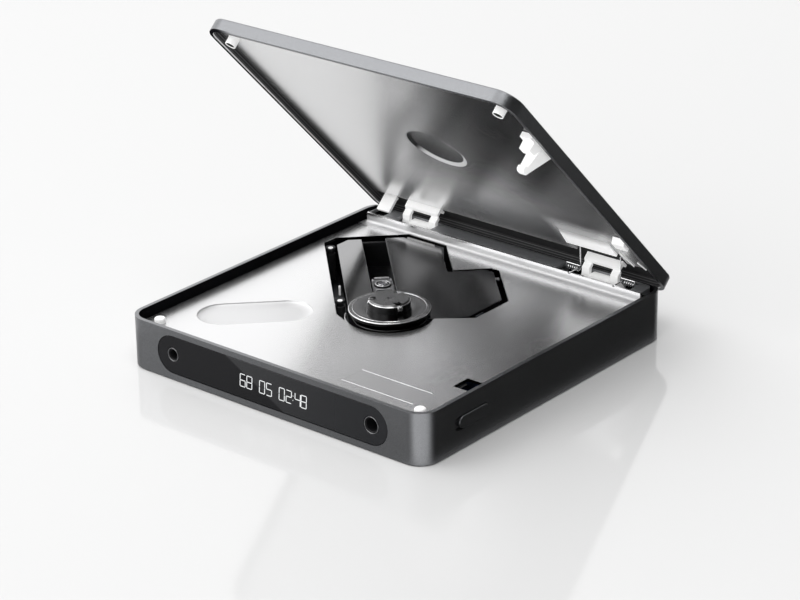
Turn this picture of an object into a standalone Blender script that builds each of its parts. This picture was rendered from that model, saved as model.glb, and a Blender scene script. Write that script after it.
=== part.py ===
"""Portable disc player with a sprung lid, standing open on its stop.

Everything is in metres, +Z up. The origin is the middle of the base's underside, the front is -Y.
The lid is drawn shut and then swung back about its hinge, and the disc drive is drawn along its
own slanted run: u leads from the spindle to the left rear corner, v leads square to it.
"""
import math

import bmesh
import bpy
import numpy as np
from mathutils import Matrix, Vector

MM = 0.001

# Overall form: a disc, and what stands round it
DISC_RADIUS = 60.0 * MM
SIDE_MARGIN = 7.0 * MM
FRONT_MARGIN = 3.0 * MM
REAR_MARGIN = 12.5 * MM
RIM_HEIGHT = 19.15 * MM
LID_THICKNESS = 4.9 * MM
LID_SEAM = 0.3 * MM
CORNER_RADIUS = 7.7 * MM
WALL = 1.5 * MM
EDGE_ROUND = 0.6 * MM
LID_OPEN_ANGLE = math.radians(46.0)

# Clearances shared by every piece
GAP = 0.3 * MM
FIT = 0.2 * MM
OVERRUN = 1.0 * MM

# Bottom cover, the ledge it lies under and its feet
COVER_THICKNESS = 1.2 * MM
LEDGE_DEPTH = 3.2 * MM
LEDGE_THICKNESS = 2.0 * MM
FOOT_RADIUS = 5.5 * MM
FOOT_THICKNESS = 0.5 * MM
FOOT_INSET = 15.0 * MM

# Deck, a moulding with a raised lip along its rear edge
DECK_HEIGHT = 15.4 * MM
DECK_THICKNESS = 1.2 * MM
DECK_MARGIN = 0.8 * MM
LIP_FROM_REAR = 10.7 * MM
LIP_THICKNESS = 0.9 * MM
LIP_HEIGHT = 19.0 * MM
LIP_FILLET = 1.2 * MM
LIP_END_MARGIN = 2.4 * MM
LIP_NOTCH_WIDTH = 1.0 * MM
LIP_NOTCH_DEPTH = 0.5 * MM
PAD_RADIUS = 2.0 * MM
PAD_TOP = 17.3 * MM
PAD_SIDE_INSET = 8.25 * MM
PAD_FRONT_INSET = 8.5 * MM

# Finger scoop in the deck
SCOOP_OFFSET = 7.5 * MM
SCOOP_FROM_DRIVE = 7.8 * MM
SCOOP_PAST_DISC = 7.3 * MM
SCOOP_WIDTH = 18.4 * MM
SCOOP_DEPTH = 2.8 * MM
SCOOP_ROUND = 4.2 * MM
SCOOP_SKIN = 1.1 * MM

# Latch slot in the deck and the opening slide in the right wall
LATCH_SLOT_SIDE_INSET = 12.6 * MM
LATCH_SLOT_WIDTH = 9.2 * MM
LATCH_SLOT_FRONT = 30.8 * MM
LATCH_SLOT_LENGTH = 8.0 * MM
SLIDE_SLOT_LEAD = 14.8 * MM
SLIDE_SLOT_LENGTH = 18.1 * MM
SLIDE_SLOT_HEIGHT = 5.1 * MM
SLIDE_LEVEL = 10.15 * MM
SLIDE_TRAVEL = 2.0 * MM
KNOB_PROUD = 0.4 * MM
CARRIAGE_THICKNESS = 1.4 * MM
CARRIAGE_HEIGHT = 7.4 * MM
CARRIAGE_OVERLAP = 1.6 * MM
CATCH_HEIGHT = 0.8 * MM
CATCH_BITE = 0.6 * MM
CATCH_ARM_WIDTH = 3.6 * MM

# Display window and the two sockets on the front
WINDOW_SIDE_INSET = 15.0 * MM
WINDOW_HEIGHT = 14.3 * MM
WINDOW_LEVEL = 9.9 * MM
WINDOW_THICKNESS = 1.0 * MM
JACK_END_INSET = 7.2 * MM
SMALL_JACK_RING_RADIUS = 2.45 * MM
SMALL_JACK_BORE_RADIUS = 1.75 * MM
LARGE_JACK_RING_RADIUS = 3.05 * MM
LARGE_JACK_BORE_RADIUS = 2.2 * MM
JACK_BODY_WIDTH = 9.0 * MM
JACK_BODY_HEIGHT = 7.2 * MM
JACK_BODY_LENGTH = 12.0 * MM
JACK_BORE_DEPTH = 11.0 * MM
DISPLAY_JACK_GAP = 5.3 * MM
DISPLAY_HEIGHT = 8.0 * MM
DISPLAY_THICKNESS = 1.6 * MM

# Keys in the left wall
KEY_COUNT = 5
KEY_PITCH = 13.0 * MM
KEY_FIRST_FROM_FRONT = 32.0 * MM
KEY_LENGTH = 9.4 * MM
KEY_HEIGHT = 4.2 * MM
KEY_PROUD = 0.5 * MM
KEY_TRAVEL = 0.5 * MM
KEY_FLANGE = 0.8 * MM
KEY_FLANGE_THICKNESS = 0.7 * MM
KEY_BOARD_THICKNESS = 1.0 * MM
KEY_BOARD_HEIGHT = 6.4 * MM
KEY_SWITCH_WIDTH = 3.0 * MM
KEY_SWITCH_HEIGHT = 2.4 * MM
KEY_SWITCH_DEPTH = 1.0 * MM

# Sockets in the rear wall
USB_X = -9.0 * MM
USB_WIDTH = 9.0 * MM
USB_HEIGHT = 3.3 * MM
USB_SHELL = 0.4 * MM
LINE_OUT_X = 9.0 * MM
LINE_OUT_RING_RADIUS = 2.6 * MM
LINE_OUT_BORE_RADIUS = 1.75 * MM
REAR_SOCKET_LEVEL = 7.6 * MM
REAR_SOCKET_LENGTH = 9.0 * MM

# Hinge line and the shelf that covers it
HINGE_FROM_REAR = 3.8 * MM
HINGE_LEVEL = 14.1 * MM
SHELF_TOP = 19.0 * MM
SHELF_THICKNESS = 1.3 * MM
SHELF_SIDE_MARGIN = 2.7 * MM
SHELF_CORNER_RADIUS = 3.5 * MM
SHELF_APRON = 1.0 * MM
SHELF_APRON_DEPTH = 3.0 * MM
SHELF_STRIP = 0.5 * MM
HINGE_POCKET = 0.7 * MM

# Two hinges: an arm with two legs, a bracket between them and a pin
ARM_SIDE_INSET = 25.2 * MM
ARM_WIDTH = 15.8 * MM
ARM_LEG_WIDTH = 3.3 * MM
ARM_THICKNESS = 1.3 * MM
ARM_TOP_FROM_REAR = 10.6 * MM
ARM_LOW_FROM_REAR = 9.4 * MM
ARM_CRANK_TOP = 19.9 * MM
ARM_CRANK_BOTTOM = 19.2 * MM
ARM_WINDOW_TOP = 19.5 * MM
ARM_TOE_LEVEL = 15.6 * MM
ARM_FLANGE_DEPTH = 3.2 * MM
ARM_FLANGE_THICKNESS = 0.9 * MM
EYE_RADIUS = 2.4 * MM
PIN_RADIUS = 0.9 * MM
BRACKET_HOOD_RADIUS = 4.2 * MM
BRACKET_FROM_REAR = 7.6 * MM
BRACKET_FOOT_LEVEL = 1.5 * MM
BRACKET_FOOT_THICKNESS = 1.2 * MM
BRACKET_FOOT_REACH = 5.0 * MM

# Torsion springs of the right hinge
SPRING_WIRE_RADIUS = 0.2 * MM
SPRING_MEAN_RADIUS = 0.8 * MM
SPRING_PITCH = 0.92 * MM
SPRING_TURNS = 6
SPRING_POINTS_PER_TURN = 8
SPRING_FROM_REAR = 4.3 * MM
SPRING_LEVEL = 18.2 * MM
SPRING_ARM_GAP = 1.9 * MM
SPRING_RETURN_RISE = 1.75 * MM
SPRING_TIP_FROM_REAR = 14.9 * MM
SPRING_PIN_RADIUS = 0.35 * MM
SPRING_PIN_SEAT = 1.8 * MM
SPRING_LEAST_SELF_GAP = 0.4 * MM

# Lid: liner, hub recess, hood over the spring ends, posts, latch claw and tabs
LID_CEILING = 1.2 * MM
LINER_LEVEL = 22.2 * MM
LINER_THICKNESS = 0.65 * MM
LINER_MARGIN = 0.6 * MM
LINER_FROM_REAR = 11.1 * MM
RECESS_RADIUS = 11.7 * MM
RECESS_BEVEL = 1.0 * MM
RECESS_DEPTH = 0.5 * MM
HOOD_LENGTH = 11.0 * MM
HOOD_FROM_REAR = 19.0 * MM
HOOD_DROP = 1.4 * MM
HOOD_BEND_SHARE = 0.7
HOOD_WIDTH = 22.0 * MM
HOOD_SHIFT = 0.9 * MM
POST_RADIUS = 2.2 * MM
POST_BORE_RADIUS = 1.3 * MM
POST_BORE_DEPTH = 2.6 * MM
CLAW_CLEARANCE = 0.6 * MM
CLAW_WIDTH = 4.7 * MM
CLAW_LEAD = 6.2 * MM
CLAW_STEP_ONE_LEAD = 3.6 * MM
CLAW_STEP_ONE_LEVEL = 19.9 * MM
CLAW_STEP_TWO_LEAD = 0.2 * MM
CLAW_STEP_TWO_LEVEL = 16.9 * MM
CLAW_STEM_LEVEL = 19.5 * MM
CLAW_HEAD_INSET = 0.3 * MM
CLAW_STEM_INSET = 1.3 * MM
CLAW_SHOULDER_LEVEL = 12.9 * MM
CLAW_TOE_LEVEL = 10.9 * MM
CLAW_TOE_REAR_INSET = 5.8 * MM
CLAW_REAR_INSET = 9.4 * MM
TAB_SIDE_INSET = 8.0 * MM
TAB_WIDTH = 6.0 * MM
TAB_LEVEL = 15.9 * MM
STOP_SIDE_INSET = 6.5 * MM
STOP_WIDTH = 5.2 * MM
STOP_FROM_REAR = 36.0 * MM
STOP_LENGTH = 5.0 * MM
STOP_LEVEL = 19.6 * MM

# Disc drive, in its own slanted run
DRIVE_ANGLE = math.radians(135.0)
DRIVE_LIP_GAP = 0.5 * MM
DRIVE_LEFT = -18.5 * MM
DRIVE_RIGHT = 26.3 * MM
DRIVE_NEAR = -6.7 * MM
WING_FAR_SHARE = 0.426
WING_REAR_GAP = 9.4 * MM
LEFT_CORNER_CUT = 4.4 * MM
FAR_CORNER_CUT = 12.8 * MM
WING_CORNER_CUT = 2.4 * MM
NEAR_CORNER_CUT = 13.2 * MM
LEFT_RUN_START = 2.5 * MM
SPINDLE_OPENING_RADIUS = 16.0 * MM
SPINDLE_OPENING_START = math.radians(110.1)
SPINDLE_OPENING_END = math.radians(243.0)
PLATE_DROP = 0.2 * MM
PLATE_THICKNESS = 0.5 * MM
PLATE_MARGIN = 2.2 * MM
PLATE_WING_GAP = 0.8 * MM
PLATE_LEFT = -14.0 * MM
PLATE_HOLE_RADIUS = 10.5 * MM
TRACK_WIDTH = 8.7 * MM
TRACK_START = 12.0 * MM
CHASSIS_MARGIN = 2.9 * MM
CHASSIS_BOTTOM = 4.6 * MM
CHASSIS_ROOF = 1.4 * MM
CHASSIS_SKIRT = 1.2 * MM
CHASSIS_HUB_HOLE_RADIUS = 2.6 * MM
TRACK_WELL_EXTRA = 0.8 * MM
DAMPER_RADIUS = 1.9 * MM
DAMPER_WAIST_RADIUS = 1.3 * MM
DAMPER_WAIST_HEIGHT = 1.2 * MM
DAMPER_TOP_DROP = 1.0 * MM
DAMPER_RIM_GAP = 2.2 * MM
DAMPER_FAR_GAP = 6.3 * MM
DAMPER_NEAR = 17.5 * MM
STUD_INSETS = (
    (12.9 * MM, 6.8 * MM),
    (24.9 * MM, 11.8 * MM),
)
STUD_RADIUS = 2.2 * MM

# Turntable, hub and jaws
TURNTABLE_RADIUS = 14.6 * MM
TURNTABLE_TOP = 18.3 * MM
TURNTABLE_RIM = 1.5 * MM
TURNTABLE_BOSS_RADIUS = 6.5 * MM
TURNTABLE_BOSS_BOTTOM = 15.0 * MM
MAT_INNER_RADIUS = 9.0 * MM
MAT_OUTER_RADIUS = 13.2 * MM
MAT_THICKNESS = 0.5 * MM
MAT_SINK = 0.7 * MM
HUB_RADIUS = 7.45 * MM
HUB_TOP = 21.7 * MM
HUB_CHAMFER = 0.7 * MM
HUB_DIMPLE_RADIUS = 1.0 * MM
HUB_DIMPLE_DEPTH = 0.5 * MM
SHAFT_RADIUS = 1.0 * MM
SHAFT_BOTTOM = 9.0 * MM
JAW_FIRST_ANGLE = math.radians(100.0)
JAW_COUNT = 3
JAW_WIDTH = 1.8 * MM
JAW_PROUD = 0.3 * MM
JAW_LENGTH = 2.2 * MM
JAW_TRAVEL = 0.5 * MM
JAW_BOTTOM = 19.0 * MM
JAW_TOP = 20.9 * MM

# Motor, pickup and screw under the drive plate
SPINDLE_MOTOR_RADIUS = 8.2 * MM
SPINDLE_MOTOR_BOTTOM = 3.6 * MM
ROD_RADIUS = 1.0 * MM
ROD_OFFSET = 9.6 * MM
ROD_LEVEL = 8.8 * MM
ROD_START = 11.0 * MM
ROD_END_GAP = 7.4 * MM
LENS_REST = 28.8 * MM
SLED_LENGTH = 15.0 * MM
SLED_HALF_WIDTH = 11.2 * MM
SLED_BOTTOM = 6.6 * MM
SLED_TOP = 10.9 * MM
SLED_NECK_LENGTH = 11.0 * MM
SLED_NECK_WIDTH = 7.6 * MM
SLED_NECK_TOP = 14.3 * MM
SLED_WELL_RADIUS = 3.2 * MM
LENS_HOLDER_RADIUS = 2.8 * MM
LENS_HOLDER_HEIGHT = 3.0 * MM
LENS_HOLDER_TOP = 14.9 * MM
LENS_RADIUS = 1.7 * MM
LENS_CROWN = 0.35 * MM
LENS_CROWN_TURN = math.radians(72.0)
LENS_WELL_DEPTH = 4.2 * MM
SCREW_DRIVE_OFFSET = 15.2 * MM
SCREW_DRIVE_LEVEL = 7.8 * MM
SCREW_DRIVE_RADIUS = 1.2 * MM
SCREW_DRIVE_START = 13.4 * MM
SCREW_DRIVE_END_GAP = 11.7 * MM
NUT_WIDTH = 5.0 * MM
NUT_HEIGHT = 1.2 * MM
SLED_MOTOR_RADIUS = 3.7 * MM
SLED_MOTOR_LENGTH = 13.0 * MM

# Boards and battery
BOARD_THICKNESS = 1.0 * MM
BOARD_LEVEL = 4.0 * MM
BOARD_SIDE_INSET = 15.0 * MM
BOARD_FRONT_GAP = 4.0 * MM
BOARD_DRIVE_GAP = 7.0 * MM
CHIP_HEIGHT = 1.2 * MM
CHIP_X_SHARES = (-0.36, -0.14, 0.1, 0.3)
CHIP_SIZE_SHARES = (0.10, 0.13, 0.08, 0.11)
BATTERY_DRIVE_GAP = 7.0 * MM
BATTERY_BOARD_GAP = 6.0 * MM
BATTERY_HINGE_GAP = 10.9 * MM
BATTERY_BOTTOM = 1.5 * MM
BATTERY_HEIGHT = 9.5 * MM
BATTERY_ROUND = 2.0 * MM

# Facet counts, and the angle from which an edge stays sharp
CORNER_STEPS = 12
ROUND_STEPS = 48
SMALL_STEPS = 24
FINE_STEPS = 16
CROWN_STEPS = 4
SHARP_ANGLE = math.radians(32.0)

# Sizes that follow from those above
BODY_WIDTH = 2 * (DISC_RADIUS + SIDE_MARGIN)
BODY_DEPTH = FRONT_MARGIN + 2 * DISC_RADIUS + REAR_MARGIN
FRONT = -BODY_DEPTH / 2
REAR = BODY_DEPTH / 2
SIDE = BODY_WIDTH / 2
SPINDLE_Y = FRONT + FRONT_MARGIN + DISC_RADIUS
LID_BOTTOM = RIM_HEIGHT + LID_SEAM
LID_TOP = LID_BOTTOM + LID_THICKNESS
LID_INNER_TOP = LID_TOP - LID_CEILING
LINER_TOP = LINER_LEVEL + LINER_THICKNESS
HINGE_Y = REAR - HINGE_FROM_REAR
REAR_INNER = REAR - WALL
HINGE_WALL = REAR_INNER + HINGE_POCKET
SWING_RADIUS = RIM_HEIGHT - HINGE_LEVEL
LIP_FRONT = REAR - LIP_FROM_REAR
LIP_REAR = LIP_FRONT + LIP_THICKNESS
SPRING_Y = REAR - SPRING_FROM_REAR
ARM_CENTRE = SIDE - ARM_SIDE_INSET
ARM_TOP_FRONT = REAR - ARM_TOP_FROM_REAR
ARM_LOW_FRONT = REAR - ARM_LOW_FROM_REAR
BRACKET_FRONT = REAR - BRACKET_FROM_REAR
WINDOW_LENGTH = BODY_WIDTH - 2 * WINDOW_SIDE_INSET
JACK_X = WINDOW_LENGTH / 2 - JACK_END_INSET
LATCH_SLOT_LEFT = SIDE - LATCH_SLOT_SIDE_INSET
LATCH_FRONT = FRONT + LATCH_SLOT_FRONT
SLIDE_FRONT = LATCH_FRONT - SLIDE_SLOT_LEAD
TAB_X = TAB_SIDE_INSET - SIDE
STOP_X = SIDE - STOP_SIDE_INSET
DECK_BOTTOM = DECK_HEIGHT - DECK_THICKNESS
PLATE_TOP = DECK_HEIGHT - PLATE_DROP
PLATE_BOTTOM = PLATE_TOP - PLATE_THICKNESS
DAMPER_TOP = DECK_HEIGHT - DAMPER_TOP_DROP
CHASSIS_TOP = PLATE_BOTTOM - GAP
CHASSIS_CEILING = CHASSIS_TOP - CHASSIS_ROOF
LEDGE_BOTTOM = COVER_THICKNESS + GAP
LEDGE_TOP = LEDGE_BOTTOM + LEDGE_THICKNESS
BOARD_REAR = SPINDLE_Y - SPINDLE_OPENING_RADIUS - BOARD_DRIVE_GAP
DRIVE_REACH = math.sqrt(2) * (LIP_FRONT - DRIVE_LIP_GAP - SPINDLE_Y)
DRIVE_FAR = DRIVE_REACH - DRIVE_RIGHT + FAR_CORNER_CUT
WING_FAR = DRIVE_REACH * WING_FAR_SHARE
WING_RIGHT = DRIVE_REACH - WING_FAR - WING_REAR_GAP + WING_CORNER_CUT
WING_REACH = math.sqrt(0.5) * (WING_RIGHT - DRIVE_NEAR - NEAR_CORNER_CUT)


def material(name, colour, roughness, metallic=0.0):
    """A plain finish in the piece's own colour."""
    finish = bpy.data.materials.new(name)
    finish.use_nodes = True
    shader = finish.node_tree.nodes["Principled BSDF"]
    shader.inputs["Base Color"].default_value = (*colour, 1.0)
    shader.inputs["Roughness"].default_value = roughness
    shader.inputs["Metallic"].default_value = metallic
    return finish


def drive_point(u, v):
    """A place in the drive's slanted run, as x and y."""
    along = Vector((math.cos(DRIVE_ANGLE), math.sin(DRIVE_ANGLE)))
    across = Vector((along.y, -along.x))
    return (u * along.x + v * across.x, SPINDLE_Y + u * along.y + v * across.y)


def arc(centre, radius, start, end, steps):
    """Points along a circle's arc, both ends included."""
    turns = np.linspace(start, end, steps + 1)
    return [(centre[0] + radius * math.cos(t), centre[1] + radius * math.sin(t)) for t in turns]


def circle(centre, radius, steps=SMALL_STEPS):
    return arc(centre, radius, 0.0, math.tau, steps)[:-1]


def rectangle(left, right, low, high):
    return [(left, low), (right, low), (right, high), (left, high)]


def rounded_rectangle(left, right, low, high, radius, steps=CORNER_STEPS):
    """Outline of a rectangle whose corners are quarter circles."""
    corners = (
        ((right - radius, high - radius), 0.0),
        ((left + radius, high - radius), math.pi / 2),
        ((left + radius, low + radius), math.pi),
        ((right - radius, low + radius), math.pi * 1.5),
    )
    outline = []
    for centre, start in corners:
        outline += arc(centre, radius, start, start + math.pi / 2, steps)
    return outline


def body_outline(inset):
    """The player's plan shape, drawn in by an inset."""
    radius = max(CORNER_RADIUS - inset, EDGE_ROUND)
    return rounded_rectangle(-SIDE + inset, SIDE - inset, FRONT + inset, REAR - inset, radius)


def pill(centre, length, width, angle=0.0, steps=CORNER_STEPS):
    """Outline of a slot with round ends, turned by an angle."""
    half = (length - width) / 2
    outline = arc((half, 0.0), width / 2, -math.pi / 2, math.pi / 2, steps)
    outline += arc((-half, 0.0), width / 2, math.pi / 2, math.pi * 1.5, steps)
    c, s = math.cos(angle), math.sin(angle)
    return [(centre[0] + c * x - s * y, centre[1] + s * x + c * y) for x, y in outline]


def drive_outline(margin, left, wing_gap):
    """Outline of the drive's opening, drawn in by a margin, with its left side and the gap
    along the wing's far side given."""
    far, right, near = DRIVE_FAR - margin, DRIVE_RIGHT - margin, DRIVE_NEAR + margin
    wing_far, wing_right = WING_FAR - wing_gap, WING_RIGHT - margin
    corners = [
        (far - LEFT_CORNER_CUT, left),
        (far, left + LEFT_CORNER_CUT),
        (far, right - FAR_CORNER_CUT),
        (far - FAR_CORNER_CUT, right),
        (wing_far, right),
        (wing_far, wing_right - WING_CORNER_CUT),
        (wing_far - WING_CORNER_CUT, wing_right),
        (near + NEAR_CORNER_CUT, wing_right),
        (near, wing_right - NEAR_CORNER_CUT),
    ]
    radius = SPINDLE_OPENING_RADIUS - margin
    corners += arc((0.0, 0.0), radius, SPINDLE_OPENING_START, SPINDLE_OPENING_END, CORNER_STEPS)
    corners.append((LEFT_RUN_START, left))
    return [drive_point(u, v) for u, v in corners]


def drive_box(u_low, u_high, v_low, v_high):
    return [drive_point(u, v) for u, v in rectangle(u_low, u_high, v_low, v_high)]


def ring_solid(name, rings, finish=None, closed=False):
    """One body through a run of equal rings of points, capped at its ends unless it closes."""
    mesh = bmesh.new()
    loops = [[mesh.verts.new(point) for point in ring] for ring in rings]
    pairs = list(zip(loops, loops[1:]))
    if closed:
        pairs.append((loops[-1], loops[0]))
    for lower, upper in pairs:
        for i in range(len(lower)):
            j = (i + 1) % len(lower)
            mesh.faces.new((lower[i], lower[j], upper[j], upper[i]))
    if not closed:
        mesh.faces.new(loops[0])
        mesh.faces.new(loops[-1])
    bmesh.ops.recalc_face_normals(mesh, faces=mesh.faces)
    data = bpy.data.meshes.new(name)
    mesh.to_mesh(data)
    mesh.free()
    data.shade_smooth()
    data.set_sharp_from_angle(angle=SHARP_ANGLE)
    body = bpy.data.objects.new(name, data)
    bpy.context.collection.objects.link(body)
    if finish:
        data.materials.append(finish)
    return body


def prism(name, outline, low, high, finish=None, axis="Z"):
    """An outline carried straight along one axis."""
    order = {
        "X": lambda a, b, h: (h, a, b),
        "Y": lambda a, b, h: (a, h, b),
        "Z": lambda a, b, h: (a, b, h),
    }[axis]
    rings = [[order(a, b, h) for a, b in outline] for h in (low, high)]
    return ring_solid(name, rings, finish)


def turned(name, profile, centre, finish=None, closed=False, steps=ROUND_STEPS):
    """A profile of radius and height turned about an upright line."""
    rings = [[(x, y, z) for x, y in circle(centre, radius, steps)] for radius, z in profile]
    return ring_solid(name, rings, finish, closed)


def hide(*tools):
    for tool in tools:
        tool.hide_render = True
        tool.display_type = "WIRE"


def combine(body, operation, *tools):
    """Cut, join or trim a body with other shapes, which stay as its tools."""
    for tool in tools:
        change = body.modifiers.new(tool.name, "BOOLEAN")
        change.operation = operation
        change.solver = "EXACT"
        change.object = tool
    hide(*tools)
    return body


def cut(body, *tools):
    return combine(body, "DIFFERENCE", *tools)


def join(body, *tools):
    return combine(body, "UNION", *tools)


def pivot(name, place, turn=0.0):
    """An empty on a joint's axis."""
    empty = bpy.data.objects.new(name, None)
    empty.empty_display_size = EYE_RADIUS
    empty.location = place
    empty.rotation_euler.x = turn
    bpy.context.collection.objects.link(empty)
    return empty


def carry(empty, *bodies):
    """Hang bodies and their tools on an empty, each drawn where it is before the empty turns."""
    for body in bodies:
        tools = [change.object for change in body.modifiers if change.type == "BOOLEAN"]
        for item in [body, *tools]:
            if item.parent is None:
                item.data.transform(Matrix.Translation(-empty.location))
                item.parent = empty
            if item is not body:
                carry(empty, item)


def build_base_shell(metal):
    """Milled ring of the base: walls, cover ledge, and every opening in the walls."""
    section = (
        (EDGE_ROUND, 0.0),
        (0.0, EDGE_ROUND),
        (0.0, RIM_HEIGHT),
        (WALL, RIM_HEIGHT),
        (WALL, LEDGE_TOP),
        (WALL + LEDGE_DEPTH, LEDGE_TOP),
        (WALL + LEDGE_DEPTH, LEDGE_BOTTOM),
        (WALL, LEDGE_BOTTOM),
        (WALL, 0.0),
    )
    rings = [[(x, y, z) for x, y in body_outline(inset)] for inset, z in section]
    shell = ring_solid("base_shell", rings, metal, closed=True)

    rear = REAR + OVERRUN
    swing_end = math.acos((REAR - HINGE_Y) / SWING_RADIUS)
    sweep = arc((HINGE_Y, HINGE_LEVEL), SWING_RADIUS, math.pi / 2, swing_end, CORNER_STEPS)
    above = RIM_HEIGHT + OVERRUN
    outline = [(HINGE_Y, above)] + sweep + [(rear, sweep[-1][1]), (rear, above)]
    cut(shell, prism("lid_swing", outline, -SIDE - OVERRUN, SIDE + OVERRUN, axis="X"))

    window = pill((0.0, WINDOW_LEVEL), WINDOW_LENGTH, WINDOW_HEIGHT)
    cut(shell, prism("window_opening", window, FRONT - OVERRUN, FRONT + WALL + OVERRUN, axis="Y"))

    slide_middle = SLIDE_FRONT + SLIDE_SLOT_LENGTH / 2
    slot = pill((slide_middle, SLIDE_LEVEL), SLIDE_SLOT_LENGTH, SLIDE_SLOT_HEIGHT)
    inner_side = SIDE - WALL - OVERRUN
    cut(shell, prism("slide_slot", slot, inner_side, SIDE + OVERRUN, axis="X"))

    for index, middle in enumerate(key_places()):
        hole = pill((middle, SLIDE_LEVEL), KEY_LENGTH + 2 * FIT, KEY_HEIGHT + 2 * FIT)
        tool = prism(f"key_hole_{index + 1}", hole, -SIDE - OVERRUN, -inner_side, axis="X")
        cut(shell, tool)

    rear_inner = REAR_INNER - OVERRUN
    usb = pill((USB_X, REAR_SOCKET_LEVEL), USB_WIDTH + 2 * FIT, USB_HEIGHT + 2 * FIT)
    cut(shell, prism("usb_opening", usb, rear_inner, rear, axis="Y"))
    line = circle((LINE_OUT_X, REAR_SOCKET_LEVEL), LINE_OUT_RING_RADIUS + FIT)
    cut(shell, prism("line_out_opening", line, rear_inner, rear, axis="Y"))

    for sign, side in ((-1, "left"), (1, "right")):
        half = hinge_reach() + GAP
        middle = sign * ARM_CENTRE
        pocket = rectangle(middle - half, middle + half, LEDGE_TOP + GAP, HINGE_LEVEL + SWING_RADIUS)
        cut(shell, prism(f"hinge_pocket_{side}", pocket, rear_inner, HINGE_WALL, axis="Y"))

    return shell


def key_places():
    """Middles of the keys along the left wall."""
    first = FRONT + KEY_FIRST_FROM_FRONT
    return [first + index * KEY_PITCH for index in range(KEY_COUNT)]


def hinge_reach():
    """Half the width of a hinge, out to its bracket's outer cheeks."""
    return ARM_WIDTH / 2 + GAP


def foot_places():
    x, y = SIDE - FOOT_INSET, REAR - FOOT_INSET
    return [(sx * x, sy * y) for sy in (-1, 1) for sx in (-1, 1)]


def build_bottom_cover(metal):
    """Flat cover let into the underside, with a pocket for each foot."""
    rings = [
        [(x, y, z) for x, y in body_outline(WALL + GAP)] for z in (0.0, COVER_THICKNESS)
    ]
    cover = ring_solid("bottom_cover", rings, metal)
    for index, place in enumerate(foot_places()):
        pocket = circle(place, FOOT_RADIUS + GAP, ROUND_STEPS)
        cut(cover, prism(f"foot_pocket_{index + 1}", pocket, -OVERRUN, FOOT_THICKNESS + GAP))
    return cover


def build_feet(rubber):
    """Four soft pads, flush with the cover, that the player rests on."""
    names = ("foot_front_left", "foot_front_right", "foot_rear_left", "foot_rear_right")
    for name, place in zip(names, foot_places()):
        turned(name, ((FOOT_RADIUS, 0.0), (FOOT_RADIUS, FOOT_THICKNESS)), place, rubber)


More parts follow.
